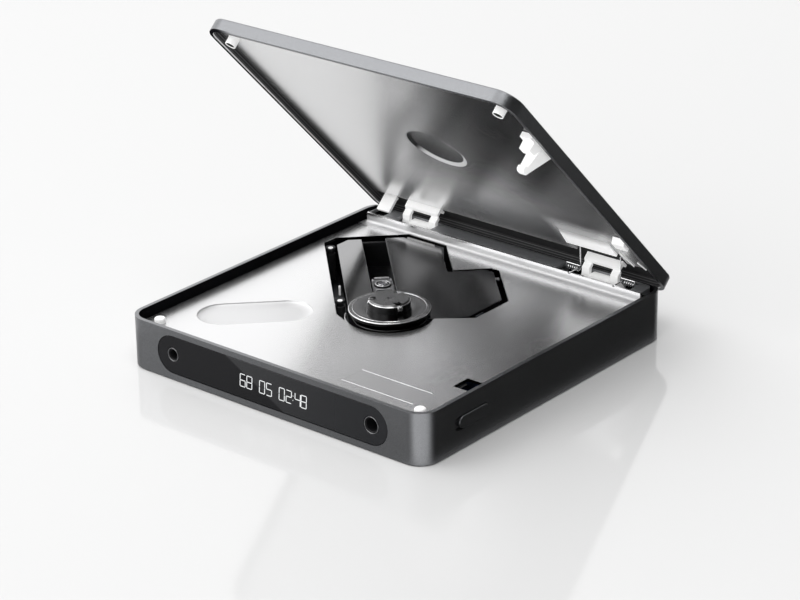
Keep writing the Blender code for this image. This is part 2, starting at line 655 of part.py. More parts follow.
def build_deck(silver):
    """Deck moulding: lip and fillet at the rear, scoop for a fingertip, drive and latch openings."""
    front = FRONT + WALL + DECK_MARGIN
    fillet = arc(
        (LIP_FRONT - LIP_FILLET, DECK_HEIGHT + LIP_FILLET),
        LIP_FILLET,
        0.0,
        -math.pi / 2,
        CORNER_STEPS // 2,
    )
    side_view = [
        (front, DECK_BOTTOM),
        (LIP_REAR, DECK_BOTTOM),
        (LIP_REAR, LIP_HEIGHT),
        (LIP_FRONT, LIP_HEIGHT),
        *fillet,
        (front, DECK_HEIGHT),
    ]
    half = SIDE - WALL - DECK_MARGIN
    deck = prism("deck", side_view, -half, half, silver, axis="X")
    plan = body_outline(WALL + DECK_MARGIN)
    combine(deck, "INTERSECT", prism("deck_plan", plan, 0.0, RIM_HEIGHT + OVERRUN))

    for sign, side in ((-1, "left"), (1, "right")):
        inner, outer = sign * (SIDE - WALL - LIP_END_MARGIN), sign * (SIDE + OVERRUN)
        corner = rectangle(
            min(inner, outer), max(inner, outer), LIP_FRONT - LIP_FILLET - OVERRUN, LIP_REAR + OVERRUN
        )
        cut(deck, prism(f"lip_end_{side}", corner, DECK_HEIGHT, LIP_HEIGHT + OVERRUN))
        pin_side = sign * (SIDE - PAD_SIDE_INSET)
        seat = circle((pin_side, FRONT + PAD_FRONT_INSET), PAD_RADIUS / 2 + GAP)
        cut(deck, prism(f"pad_seat_{side}", seat, DECK_BOTTOM - OVERRUN, DECK_HEIGHT + OVERRUN))

    inner_end, outer_end = SCOOP_FROM_DRIVE - DRIVE_LEFT, SCOOP_PAST_DISC + DISC_RADIUS
    scoop_place = drive_point(SCOOP_OFFSET, -(inner_end + outer_end) / 2)
    length = outer_end - inner_end
    scoop_turn = DRIVE_ANGLE - math.pi / 2
    outer = pill(scoop_place, length + 2 * SCOOP_SKIN, SCOOP_WIDTH + 2 * SCOOP_SKIN, scoop_turn)
    low = DECK_HEIGHT - SCOOP_DEPTH - SCOOP_SKIN
    join(deck, prism("scoop_skin", outer, low, DECK_HEIGHT - DECK_THICKNESS / 2))
    rings = [[(x, y, DECK_HEIGHT + OVERRUN) for x, y in pill(
        scoop_place, length, SCOOP_WIDTH, scoop_turn)]]
    for turn in np.linspace(0.0, math.pi / 2, CORNER_STEPS // 2 + 1):
        inset = 2 * SCOOP_ROUND * (1.0 - math.cos(turn))
        outline = pill(scoop_place, length - inset, SCOOP_WIDTH - inset, scoop_turn)
        rings.append([(x, y, DECK_HEIGHT - SCOOP_DEPTH * math.sin(turn)) for x, y in outline])
    cut(deck, ring_solid("scoop", rings))

    opening = drive_outline(0.0, DRIVE_LEFT, 0.0)
    cut(deck, prism("drive_opening", opening, 0.0, DECK_HEIGHT + OVERRUN))
    slot_right, slot_rear = LATCH_SLOT_LEFT + LATCH_SLOT_WIDTH, LATCH_FRONT + LATCH_SLOT_LENGTH
    slot = rectangle(LATCH_SLOT_LEFT, slot_right, LATCH_FRONT, slot_rear)
    cut(deck, prism("latch_slot", slot, 0.0, DECK_HEIGHT + OVERRUN))
    for index, sign in enumerate((-1, 1)):
        x = spring_start(sign)
        half = LIP_NOTCH_WIDTH / 2
        notch = rectangle(x - half, x + half, LIP_FRONT - OVERRUN, LIP_REAR + OVERRUN)
        top = LIP_HEIGHT + OVERRUN
        cut(deck, prism(f"lip_notch_{index + 1}", notch, LIP_HEIGHT - LIP_NOTCH_DEPTH, top))
    return deck


def build_deck_pads(white):
    """Two pads that the lid's posts come down on, each with a stem through the deck."""
    profile = (
        (PAD_RADIUS / 2, DECK_BOTTOM),
        (PAD_RADIUS / 2, DECK_HEIGHT + GAP),
        (PAD_RADIUS, DECK_HEIGHT + GAP),
        (PAD_RADIUS, PAD_TOP - GAP),
        (PAD_RADIUS - GAP, PAD_TOP),
    )
    for sign, side in ((-1, "left"), (1, "right")):
        place = (sign * (SIDE - PAD_SIDE_INSET), FRONT + PAD_FRONT_INSET)
        turned(f"deck_pad_{side}", profile, place, white, steps=SMALL_STEPS)


def build_window(glass):
    """Dark pill-shaped front window, bored for the two sockets."""
    front = FRONT
    outline = pill((0.0, WINDOW_LEVEL), WINDOW_LENGTH - 2 * FIT, WINDOW_HEIGHT - 2 * FIT)
    window = prism("display_window", outline, front, front + WINDOW_THICKNESS, glass, axis="Y")
    radii = (SMALL_JACK_RING_RADIUS, LARGE_JACK_RING_RADIUS)
    for sign, radius, side in zip((-1, 1), radii, ("left", "right")):
        hole = circle((sign * JACK_X, WINDOW_LEVEL), radius + FIT)
        far = front + WINDOW_THICKNESS + OVERRUN
        cut(window, prism(f"jack_hole_{side}", hole, front - OVERRUN, far, axis="Y"))
    return window


def build_jack(name, x, level, ring, bore, face, inward, dark, length=JACK_BODY_LENGTH):
    """A socket: a round nose flush with the wall, a square body behind and a blind bore."""
    nose_end = face + inward * (WALL + GAP)
    far = face + inward * length
    body_outline_points = rectangle(
        x - JACK_BODY_WIDTH / 2, x + JACK_BODY_WIDTH / 2, level - JACK_BODY_HEIGHT / 2,
        level + JACK_BODY_HEIGHT / 2)
    low, high = sorted((nose_end, far))
    jack = prism(name, body_outline_points, low, high, dark, axis="Y")
    low, high = sorted((face, nose_end + inward * OVERRUN))
    join(jack, prism(f"{name}_nose", circle((x, level), ring), low, high, axis="Y"))
    low, high = sorted((face - inward * OVERRUN, face + inward * min(JACK_BORE_DEPTH, length - WALL)))
    cut(jack, prism(f"{name}_bore", circle((x, level), bore), low, high, axis="Y"))
    return jack


def build_display(dark):
    """The lit module behind the window."""
    front = FRONT + WALL + GAP
    half, middle = JACK_X - JACK_BODY_WIDTH / 2 - DISPLAY_JACK_GAP, WINDOW_LEVEL
    outline = rectangle(-half, half, middle - DISPLAY_HEIGHT / 2, middle + DISPLAY_HEIGHT / 2)
    return prism("display_module", outline, front, front + DISPLAY_THICKNESS, dark, axis="Y")


def build_usb_socket(steel):
    """Steel shell of the charging socket, open at the rear."""
    rear, deep = REAR, REAR - REAR_SOCKET_LENGTH
    outer = pill((USB_X, REAR_SOCKET_LEVEL), USB_WIDTH, USB_HEIGHT)
    socket = prism("usb_socket", outer, deep, rear, steel, axis="Y")
    inner = pill((USB_X, REAR_SOCKET_LEVEL), USB_WIDTH - 2 * USB_SHELL, USB_HEIGHT - 2 * USB_SHELL)
    return cut(socket, prism("usb_bore", inner, deep + USB_SHELL * 2, rear + OVERRUN, axis="Y"))


def build_hinge_shelf(metal):
    """Shelf over the hinge line, with windows for arms, springs and tab, and a peg in each coil."""
    front = LIP_REAR + GAP
    rear = REAR_INNER - GAP
    radius = SHELF_TOP - HINGE_LEVEL
    end = math.acos((rear - HINGE_Y) / radius)
    crown = arc((HINGE_Y, HINGE_LEVEL), radius, math.pi / 2, end, CORNER_STEPS // 2)
    under = SHELF_TOP - SHELF_THICKNESS
    apron = rear - SHELF_APRON
    side_view = [
        (front, under),
        (front, SHELF_TOP),
        *crown,
        (rear, under - SHELF_APRON_DEPTH),
        (apron, under - SHELF_APRON_DEPTH),
        (apron, under),
    ]
    half = SIDE - WALL - SHELF_SIDE_MARGIN
    shelf = prism("hinge_shelf", side_view, -half - OVERRUN, half + OVERRUN, metal, axis="X")
    round_front = front - SHELF_CORNER_RADIUS * 2
    plan = rounded_rectangle(-half, half, round_front, rear, SHELF_CORNER_RADIUS)
    combine(shelf, "INTERSECT", prism("shelf_plan", plan, 0.0, RIM_HEIGHT + OVERRUN))

    arm_half = hinge_reach() + GAP
    spring_half = spring_far(1) - ARM_CENTRE + GAP
    tab_half = TAB_WIDTH / 2 + GAP
    openings = (
        ("left_arm", -ARM_CENTRE, arm_half, rear - SHELF_STRIP),
        ("right_arm", ARM_CENTRE, spring_half, rear - SHELF_STRIP),
        ("tab", TAB_X, tab_half, HINGE_Y),
    )
    for name, middle, half, end in openings:
        left, right = middle - half, middle + half
        low = under - SHELF_APRON_DEPTH - OVERRUN
        opening = rectangle(left, right, front - OVERRUN, end)
        cut(shelf, prism(f"shelf_opening_{name}", opening, low, SHELF_TOP + OVERRUN))
        below = rectangle(left, right, front - OVERRUN, rear + OVERRUN)
        cut(shelf, prism(f"shelf_relief_{name}", below, low, under))
    for sign, side in ((-1, "inner"), (1, "outer")):
        peg = circle((SPRING_Y, SPRING_LEVEL), SPRING_PIN_RADIUS, FINE_STEPS)
        ends = (spring_start(sign), spring_far(sign) + sign * SPRING_PIN_SEAT)
        join(shelf, prism(f"spring_peg_{side}", peg, min(ends), max(ends), axis="X"))
    return shelf


def arm_side_view():
    """Side view of a hinge arm's leg, lid shut: down behind the deck's lip and back to the eye."""
    thick = ARM_THICKNESS
    eye = (HINGE_Y, HINGE_LEVEL)
    top_front, low_front = ARM_TOP_FRONT, ARM_LOW_FRONT
    eye_arc = arc(eye, EYE_RADIUS, -math.pi / 2, math.pi / 2, CORNER_STEPS)
    return [
        (top_front, LID_INNER_TOP - GAP),
        (top_front, ARM_CRANK_TOP),
        (low_front, ARM_CRANK_BOTTOM),
        (low_front, ARM_TOE_LEVEL + thick),
        (low_front + thick, ARM_TOE_LEVEL),
        (eye[0] - EYE_RADIUS, HINGE_LEVEL - EYE_RADIUS),
        *eye_arc,
        (low_front + thick * 2, HINGE_LEVEL + EYE_RADIUS),
        (low_front + thick, HINGE_LEVEL + EYE_RADIUS + thick),
        (low_front + thick, ARM_CRANK_BOTTOM),
        (top_front + thick, ARM_CRANK_TOP),
        (top_front + thick, LID_INNER_TOP - GAP),
    ]


def build_hinge_arm(side, sign, white):
    """Arm of the lid: a flange under the lid's top, a face plate and two legs with eyes."""
    middle = sign * ARM_CENTRE
    left, right = middle - ARM_WIDTH / 2, middle + ARM_WIDTH / 2
    arm = prism(f"hinge_arm_{side}", arm_side_view(), left, right, white, axis="X")
    top = LID_INNER_TOP - GAP
    front = ARM_TOP_FRONT
    flange = rectangle(left, right, front + ARM_THICKNESS / 2, front + ARM_FLANGE_DEPTH)
    join(arm, prism(f"arm_flange_{side}", flange, top - ARM_FLANGE_THICKNESS, top))
    inner = ARM_WIDTH / 2 - ARM_LEG_WIDTH
    window = rectangle(middle - inner, middle + inner, front - OVERRUN, HINGE_Y + EYE_RADIUS + OVERRUN)
    low = HINGE_LEVEL - EYE_RADIUS - OVERRUN * 2
    cut(arm, prism(f"arm_window_{side}", window, low, ARM_WINDOW_TOP))
    bore = circle((HINGE_Y, HINGE_LEVEL), PIN_RADIUS + GAP, FINE_STEPS)
    cut(arm, prism(f"arm_bore_{side}", bore, left - OVERRUN, right + OVERRUN, axis="X"))
    return arm


def build_hinge_bracket(side, sign, white):
    """Bracket of the base: a round-topped block between the legs, on a foot and a heel."""
    middle = sign * ARM_CENTRE
    half = ARM_WIDTH / 2 - ARM_LEG_WIDTH - GAP
    rear = REAR_INNER - GAP
    front = BRACKET_FRONT
    hood_rear = rear - SHELF_STRIP - GAP
    step = HINGE_LEVEL + PIN_RADIUS + 2 * GAP
    start = math.acos((hood_rear - HINGE_Y) / BRACKET_HOOD_RADIUS)
    end = math.acos((front - HINGE_Y) / BRACKET_HOOD_RADIUS)
    hood = arc((HINGE_Y, HINGE_LEVEL), BRACKET_HOOD_RADIUS, start, end, CORNER_STEPS)
    block = [(front, LEDGE_TOP + GAP), (rear, LEDGE_TOP + GAP), (rear, step), (hood_rear, step), *hood]
    bracket = prism(f"hinge_bracket_{side}", block, middle - half, middle + half, white, axis="X")
    wide = hinge_reach()
    foot_front = front - BRACKET_FOOT_REACH
    foot_top = LEDGE_TOP + GAP + BRACKET_FOOT_THICKNESS
    foot = rectangle(middle - wide, middle + wide, foot_front, rear)
    join(bracket, prism(f"bracket_foot_{side}", foot, LEDGE_TOP + GAP, foot_top))
    heel_rear = REAR_INNER - LEDGE_DEPTH - GAP
    heel = rectangle(middle - wide, middle + wide, foot_front, heel_rear)
    join(bracket, prism(f"bracket_heel_{side}", heel, BRACKET_FOOT_LEVEL, LEDGE_TOP + GAP * 2))
    bore = circle((HINGE_Y, HINGE_LEVEL), PIN_RADIUS + GAP, FINE_STEPS)
    tool = prism(f"bracket_bore_{side}", bore, middle - half - OVERRUN, middle + half + OVERRUN, axis="X")
    return cut(bracket, tool)


def build_hinge_pin(side, sign, steel):
    """Pin through both legs and the bracket."""
    middle, half = sign * ARM_CENTRE, ARM_WIDTH / 2 + FIT
    outline = circle((HINGE_Y, HINGE_LEVEL), PIN_RADIUS, FINE_STEPS)
    return prism(f"hinge_pin_{side}", outline, middle - half, middle + half, steel, axis="X")


def spring_start(sign):
    """Where a spring's fixed leg stands, just outside the arm."""
    return ARM_CENTRE + sign * (ARM_WIDTH / 2 + SPRING_ARM_GAP)


def spring_far(sign):
    """The far end of a spring's coil, with room for its return wire."""
    return spring_start(sign) + sign * (SPRING_TURNS * SPRING_PITCH + 2 * SPRING_WIRE_RADIUS + GAP)


def lid_open_point(y, z):
    """A point of the shut lid, where it is when the lid stands open."""
    c, s = math.cos(LID_OPEN_ANGLE), math.sin(LID_OPEN_ANGLE)
    y, z = y - HINGE_Y, z - HINGE_LEVEL
    return HINGE_Y + c * y + s * z, HINGE_LEVEL - s * y + c * z


def spring_route(sign):
    """Points of one spring: fixed leg, coil, return over the coil and the leg up to the lid."""
    x = spring_start(sign)
    y, z = SPRING_Y, SPRING_LEVEL
    r = SPRING_MEAN_RADIUS
    points = [Vector((x, (LIP_FRONT + LIP_REAR) / 2, z + r))]
    points.append(Vector((x, y - r, z + r)))
    per_turn = SPRING_POINTS_PER_TURN
    for step in range(SPRING_TURNS * per_turn - per_turn // 4 + 1):
        turn = math.tau * step / per_turn
        along = x + sign * SPRING_PITCH * step / per_turn
        points.append(Vector((along, y + r * math.sin(turn), z + r * math.cos(turn))))
    back = points[-1] + Vector((0.0, 0.0, SPRING_RETURN_RISE))
    leg_x = x - sign * SPRING_ARM_GAP / 2
    points.append(back)
    points.append(Vector((leg_x, back.y, back.z)))
    tip_level = LID_INNER_TOP - GAP - SPRING_WIRE_RADIUS
    tip_y, tip_z = lid_open_point(REAR - SPRING_TIP_FROM_REAR, tip_level)
    points.append(Vector((leg_x, tip_y, tip_z)))
    return points


def least_self_gap(points, radius):
    """Least gap of a wire to itself, between stretches that aren't neighbours along it."""
    dense = []
    for a, b in zip(points, points[1:]):
        steps = max(1, math.ceil((b - a).length / radius))
        dense += [a.lerp(b, k / steps) for k in range(steps)]
    dense.append(points[-1])
    places = np.array(dense)
    lengths = np.concatenate([[0.0], np.cumsum(np.linalg.norm(np.diff(places, axis=0), axis=1))])
    apart = np.linalg.norm(places[:, None] - places[None], axis=2)
    along = np.abs(lengths[:, None] - lengths[None])
    far = along > SPRING_MEAN_RADIUS * math.pi
    return float(apart[far].min() - 2 * radius)


def build_spring(name, sign, steel):
    """One unbroken wire, wound by formula."""
    points = spring_route(sign)
    gap = least_self_gap(points, SPRING_WIRE_RADIUS)
    print(name, "least gap to itself", round(gap / MM, 3), "mm")
    assert gap > SPRING_LEAST_SELF_GAP, name
    curve = bpy.data.curves.new(name, "CURVE")
    curve.dimensions = "3D"
    curve.bevel_depth = SPRING_WIRE_RADIUS
    curve.bevel_resolution = 1
    curve.use_fill_caps = True
    line = curve.splines.new("POLY")
    line.points.add(len(points) - 1)
    for place, point in zip(line.points, points):
        place.co = (*point, 1.0)
    curve.materials.append(steel)
    spring = bpy.data.objects.new(name, curve)
    bpy.context.collection.objects.link(spring)
    return spring


def build_lid_shell(metal):
    """Lid tray: lip, walls and top with a softened edge, and the hub recess in its ceiling."""
    section = (
        (WALL, LID_INNER_TOP),
        (WALL, LID_BOTTOM),
        (0.0, LID_BOTTOM),
        (0.0, LID_TOP - EDGE_ROUND),
        (EDGE_ROUND * (1 - math.sqrt(0.5)), LID_TOP - EDGE_ROUND * (1 - math.sqrt(0.5))),
        (EDGE_ROUND, LID_TOP),
    )
    rings = [[(x, y, z) for x, y in body_outline(inset)] for inset, z in section]
    shell = ring_solid("lid_shell", rings, metal)
    radius = RECESS_RADIUS - RECESS_BEVEL
    profile = ((radius, LID_INNER_TOP - OVERRUN), (radius, LID_INNER_TOP + RECESS_DEPTH))
    return cut(shell, turned("lid_recess", profile, (0.0, SPINDLE_Y)))


def build_lid_liner(silver):
    """Liner of the lid, with the recess over the hub, and a hood with a notch behind it for the
    spring ends."""
    plan = body_outline(WALL + LINER_MARGIN)
    liner = prism("lid_liner", plan, LINER_LEVEL, LINER_TOP, silver)
    rear = rectangle(-SIDE, SIDE, REAR - LINER_FROM_REAR, REAR)
    cut(liner, prism("liner_end", rear, LINER_LEVEL - OVERRUN, LINER_TOP + OVERRUN))
    inner, low = RECESS_RADIUS - RECESS_BEVEL, LINER_LEVEL
    profile = ((RECESS_RADIUS + OVERRUN, low - OVERRUN), (inner, low + RECESS_BEVEL),
               (inner, LINER_TOP + OVERRUN))
    cut(liner, turned("liner_recess", profile, (0.0, SPINDLE_Y)))
    rear_y = REAR - HOOD_FROM_REAR
    front_y = rear_y - HOOD_LENGTH
    skin = LINER_THICKNESS / 2
    side_view = [
        (front_y, LINER_LEVEL + skin),
        (front_y, LINER_LEVEL),
        (rear_y - HOOD_LENGTH / 3, LINER_LEVEL - HOOD_DROP * HOOD_BEND_SHARE),
        (rear_y, LINER_LEVEL - HOOD_DROP),
        (rear_y, LINER_LEVEL + skin),
    ]
    left = ARM_CENTRE - HOOD_SHIFT - HOOD_WIDTH / 2
    join(liner, prism("liner_hood", side_view, left, left + HOOD_WIDTH, axis="X"))
    behind = rectangle(left, left + HOOD_WIDTH, rear_y, REAR)
    return cut(liner, prism("spring_notch", behind, LINER_LEVEL - OVERRUN, LINER_TOP + OVERRUN))


def build_lid_post(side, sign, white):
    """Hollow post that comes down on the deck's pad."""
    place = (sign * (SIDE - PAD_SIDE_INSET), FRONT + PAD_FRONT_INSET)
    low, high = PAD_TOP + GAP, LINER_LEVEL - GAP
    post = turned(f"lid_post_{side}", ((POST_RADIUS, low), (POST_RADIUS, high)), place, white,
                  steps=SMALL_STEPS)
    bore = ((POST_BORE_RADIUS, low - OVERRUN), (POST_BORE_RADIUS, low + POST_BORE_DEPTH))
    return cut(post, turned(f"post_bore_{side}", bore, place, steps=SMALL_STEPS))


def build_latch_claw(white):
    """Stepped claw that drops through the deck's slot and hooks under the catch."""
    top = LINER_LEVEL - GAP
    y, step_one, step_two = LATCH_FRONT, CLAW_STEP_ONE_LEVEL, CLAW_STEP_TWO_LEVEL
    side_view = [
        (y - CLAW_LEAD, top),
        (y - CLAW_LEAD, step_one),
        (y - CLAW_STEP_ONE_LEAD, step_one),
        (y - CLAW_STEP_ONE_LEAD, step_two),
        (y - CLAW_STEP_TWO_LEAD, step_two),
        (y + CLAW_STEM_INSET, CLAW_STEM_LEVEL),
        (y + CLAW_STEM_INSET, CLAW_SHOULDER_LEVEL),
        (y + CLAW_HEAD_INSET, CLAW_SHOULDER_LEVEL),
        (y + CLAW_HEAD_INSET, CLAW_TOE_LEVEL + CATCH_BITE),
        (y + CLAW_STEM_INSET, CLAW_TOE_LEVEL),
        (y + CLAW_TOE_REAR_INSET, CLAW_TOE_LEVEL),
        (y + CLAW_REAR_INSET, top),
    ]
    right = LATCH_SLOT_LEFT + LATCH_SLOT_WIDTH - CLAW_CLEARANCE
    return prism("latch_claw", side_view, right - CLAW_WIDTH, right, white, axis="X")


def build_lid_tab(white):
    """Guide tab at the lid's left rear, with a flange behind it."""
    front, top = ARM_LOW_FRONT, LID_INNER_TOP - GAP
    rear = front + ARM_THICKNESS
    flange_rear = front + ARM_FLANGE_DEPTH / 2
    side_view = [
        (front, TAB_LEVEL),
        (rear, TAB_LEVEL),
        (rear, top - ARM_FLANGE_THICKNESS),
        (flange_rear, top - ARM_FLANGE_THICKNESS),
        (flange_rear, top),
        (front, top),
    ]
    left, right = TAB_X - TAB_WIDTH / 2, TAB_X + TAB_WIDTH / 2
    return prism("lid_tab", side_view, left, right, white, axis="X")


def build_lid_stop(white):
    """Block near the lid's right edge that bears on a tall disc case."""
    front = REAR - STOP_FROM_REAR
    rear = front + STOP_LENGTH
    top = LINER_LEVEL - GAP
    side_view = [
        (front, top),
        (front + STOP_LENGTH / 4, STOP_LEVEL),
        (rear, STOP_LEVEL),
        (rear, top),
    ]
    left, right = STOP_X - STOP_WIDTH / 2, STOP_X + STOP_WIDTH / 2
    return prism("lid_stop", side_view, left, right, white, axis="X")


def build_open_slide(metal, grey):
    """Knob in the right wall and, inside it, the carriage whose arm is the latch's catch."""
    proud = SIDE + KNOB_PROUD
    inside = SIDE - WALL - GAP
    knob_length = SLIDE_SLOT_LENGTH - SLIDE_TRAVEL - 2 * GAP
    knob_rear = SLIDE_FRONT + SLIDE_SLOT_LENGTH - GAP
    middle = knob_rear - knob_length / 2
    face = pill((middle, SLIDE_LEVEL), knob_length, SLIDE_SLOT_HEIGHT - 2 * GAP)
    slim = pill((middle, SLIDE_LEVEL), knob_length - GAP, SLIDE_SLOT_HEIGHT - 3 * GAP)
    rings = [[(x, y, z) for y, z in outline] for x, outline in (
        (inside, face), (proud - GAP / 2, face), (proud, slim))]
    knob = ring_solid("open_knob", rings, metal)

    outer, inner = inside - FIT, inside - FIT - CARRIAGE_THICKNESS
    front = SLIDE_FRONT - CARRIAGE_OVERLAP
    rear = knob_rear + CARRIAGE_OVERLAP
    low, high = SLIDE_LEVEL - CARRIAGE_HEIGHT / 2, SLIDE_LEVEL + CARRIAGE_HEIGHT / 2
    catch_top = CLAW_SHOULDER_LEVEL + FIT + CATCH_HEIGHT
    carriage = prism("slide_catch", rectangle(front + SLIDE_TRAVEL, rear, low, high), inner, outer,
                     grey, axis="X")
    tip = LATCH_FRONT + CLAW_HEAD_INSET + CATCH_BITE
    root = tip - CATCH_ARM_WIDTH
    left = LATCH_SLOT_LEFT + CLAW_CLEARANCE
    arm = rectangle(left, inner + CARRIAGE_THICKNESS / 2, root, tip)
    join(carriage, prism("catch_arm", arm, catch_top - CATCH_HEIGHT, catch_top))
    return knob, carriage


def build_key(name, middle, metal):
    """A key in the left wall, with a flange that keeps it in."""
    outer = -SIDE - KEY_PROUD
    inner = -SIDE + WALL + GAP
    face = pill((middle, SLIDE_LEVEL), KEY_LENGTH, KEY_HEIGHT, steps=CORNER_STEPS // 2)
    slim = pill((middle, SLIDE_LEVEL), KEY_LENGTH - GAP, KEY_HEIGHT - GAP, steps=CORNER_STEPS // 2)
    wide = pill((middle, SLIDE_LEVEL), KEY_LENGTH + 2 * KEY_FLANGE, KEY_HEIGHT + 2 * KEY_FLANGE,
                steps=CORNER_STEPS // 2)
    runs = ((outer, slim), (outer + GAP / 2, face), (inner, face), (inner, wide),
            (inner + KEY_FLANGE_THICKNESS, wide))
    return ring_solid(name, [[(x, y, z) for y, z in outline] for x, outline in runs], metal)


def build_key_board(green):
    """Board behind the keys, with a switch behind each."""
    places = key_places()
    face = -SIDE + WALL + GAP + KEY_FLANGE_THICKNESS + KEY_TRAVEL + GAP + KEY_SWITCH_DEPTH
    low, high = SLIDE_LEVEL - KEY_BOARD_HEIGHT / 2, SLIDE_LEVEL + KEY_BOARD_HEIGHT / 2
    ends = rectangle(places[0] - KEY_LENGTH / 2, places[-1] + KEY_LENGTH / 2, low, high)
    board = prism("key_board", ends, face, face + KEY_BOARD_THICKNESS, green, axis="X")
    for index, middle in enumerate(places):
        outline = rectangle(
            middle - KEY_SWITCH_WIDTH / 2, middle + KEY_SWITCH_WIDTH / 2,
            SLIDE_LEVEL - KEY_SWITCH_HEIGHT / 2, SLIDE_LEVEL + KEY_SWITCH_HEIGHT / 2)
        tool = prism(f"key_switch_{index + 1}", outline, face - KEY_SWITCH_DEPTH,
                     face + KEY_BOARD_THICKNESS / 2, axis="X")
        join(board, tool)
    return board


def build_drive_plate(mirror):
    """Dark polished plate over the drive, split by the pickup's track."""
    outline = drive_outline(PLATE_MARGIN, PLATE_LEFT, PLATE_WING_GAP)
    plate = prism("drive_plate", outline, PLATE_BOTTOM, PLATE_TOP, mirror)
    track = drive_box(TRACK_START, DRIVE_FAR + OVERRUN, -TRACK_WIDTH / 2, TRACK_WIDTH / 2)
    low, high = PLATE_BOTTOM - OVERRUN, PLATE_TOP + OVERRUN
    hole = circle((0.0, SPINDLE_Y), PLATE_HOLE_RADIUS, ROUND_STEPS)
    return cut(plate, prism("plate_track", track, low, high), prism("plate_hole", hole, low, high))


def build_drive_chassis(black):
    """Frame under the plate: a roof with a skirt, the track's well cut through, and two studs."""
    left = PLATE_LEFT + PLATE_WING_GAP
    outline = drive_outline(CHASSIS_MARGIN, left, CHASSIS_MARGIN)
    chassis = prism("drive_chassis", outline, CHASSIS_BOTTOM, CHASSIS_TOP, black)
    inner_margin = CHASSIS_MARGIN + CHASSIS_SKIRT
    inner = drive_outline(inner_margin, left + CHASSIS_SKIRT, inner_margin)
    cut(chassis, prism("chassis_pocket", inner, CHASSIS_BOTTOM - OVERRUN, CHASSIS_CEILING))
    half = TRACK_WIDTH / 2 + TRACK_WELL_EXTRA
    well = drive_box(TRACK_START - TRACK_WELL_EXTRA, DRIVE_FAR - inner_margin - GAP, -half, half)
    cut(chassis, prism("chassis_well", well, CHASSIS_CEILING - OVERRUN, CHASSIS_TOP + OVERRUN))
    hole = circle((0.0, SPINDLE_Y), CHASSIS_HUB_HOLE_RADIUS)
    cut(chassis, prism("chassis_hub_hole", hole, CHASSIS_CEILING - OVERRUN, CHASSIS_TOP + OVERRUN))
    for index, (far_inset, right_inset) in enumerate(STUD_INSETS):
        place = drive_point(WING_FAR - far_inset, WING_RIGHT - right_inset)
        stud = circle(place, STUD_RADIUS)
        low, high = COVER_THICKNESS + GAP, CHASSIS_CEILING + CHASSIS_ROOF / 2
        join(chassis, prism(f"chassis_stud_{index + 1}", stud, low, high))
    return chassis


def build_dampers(white):
    """Soft mounts that show in the gap at the drive's left, each with a waist."""
    waist = DAMPER_TOP - DAMPER_WAIST_HEIGHT
    profile = (
        (DAMPER_RADIUS, COVER_THICKNESS + GAP),
        (DAMPER_RADIUS, waist - DAMPER_WAIST_HEIGHT),
        (DAMPER_WAIST_RADIUS, waist - DAMPER_WAIST_HEIGHT),
        (DAMPER_WAIST_RADIUS, waist),
        (DAMPER_RADIUS, waist),
        (DAMPER_RADIUS, DAMPER_TOP),
    )
    for end, u in (("rear", DRIVE_FAR - DAMPER_FAR_GAP), ("front", DAMPER_NEAR)):
        place = drive_point(u, DRIVE_LEFT + DAMPER_RIM_GAP)
        turned(f"drive_damper_{end}", profile, place, white, steps=SMALL_STEPS)


def build_turntable(metal, rubber, steel):
    """Turntable with its boss, mat and shaft."""
    centre = (0.0, SPINDLE_Y)
    seat, sunk = TURNTABLE_TOP - GAP, TURNTABLE_TOP - MAT_SINK
    profile = (
        (TURNTABLE_BOSS_RADIUS, TURNTABLE_BOSS_BOTTOM),
        (TURNTABLE_BOSS_RADIUS, TURNTABLE_TOP - TURNTABLE_RIM),
        (TURNTABLE_RADIUS - GAP, TURNTABLE_TOP - TURNTABLE_RIM),
        (TURNTABLE_RADIUS, TURNTABLE_TOP - TURNTABLE_RIM + GAP),
        (TURNTABLE_RADIUS, TURNTABLE_TOP - GAP),
        (TURNTABLE_RADIUS - GAP, TURNTABLE_TOP),
        (MAT_OUTER_RADIUS + GAP, TURNTABLE_TOP),
        (MAT_OUTER_RADIUS + GAP, sunk),
        (MAT_INNER_RADIUS - GAP, sunk),
        (MAT_INNER_RADIUS - GAP, seat),
    )
    table = turned("turntable", profile, centre, metal)
    bore = circle(centre, SHAFT_RADIUS + GAP, FINE_STEPS)
    bottom = TURNTABLE_BOSS_BOTTOM - OVERRUN
    cut(table, prism("turntable_bore", bore, bottom, TURNTABLE_TOP + OVERRUN))
    low = sunk + GAP
    high = low + MAT_THICKNESS
    section = ((MAT_INNER_RADIUS, low), (MAT_OUTER_RADIUS, low), (MAT_OUTER_RADIUS, high),
               (MAT_INNER_RADIUS, high))
    mat = turned("turntable_mat", section, centre, rubber, closed=True)
    shaft_top = TURNTABLE_TOP - GAP
    profile = ((SHAFT_RADIUS, SHAFT_BOTTOM), (SHAFT_RADIUS, shaft_top))
    shaft = turned("spindle_shaft", profile, centre, steel, steps=FINE_STEPS)
    return table, mat, shaft


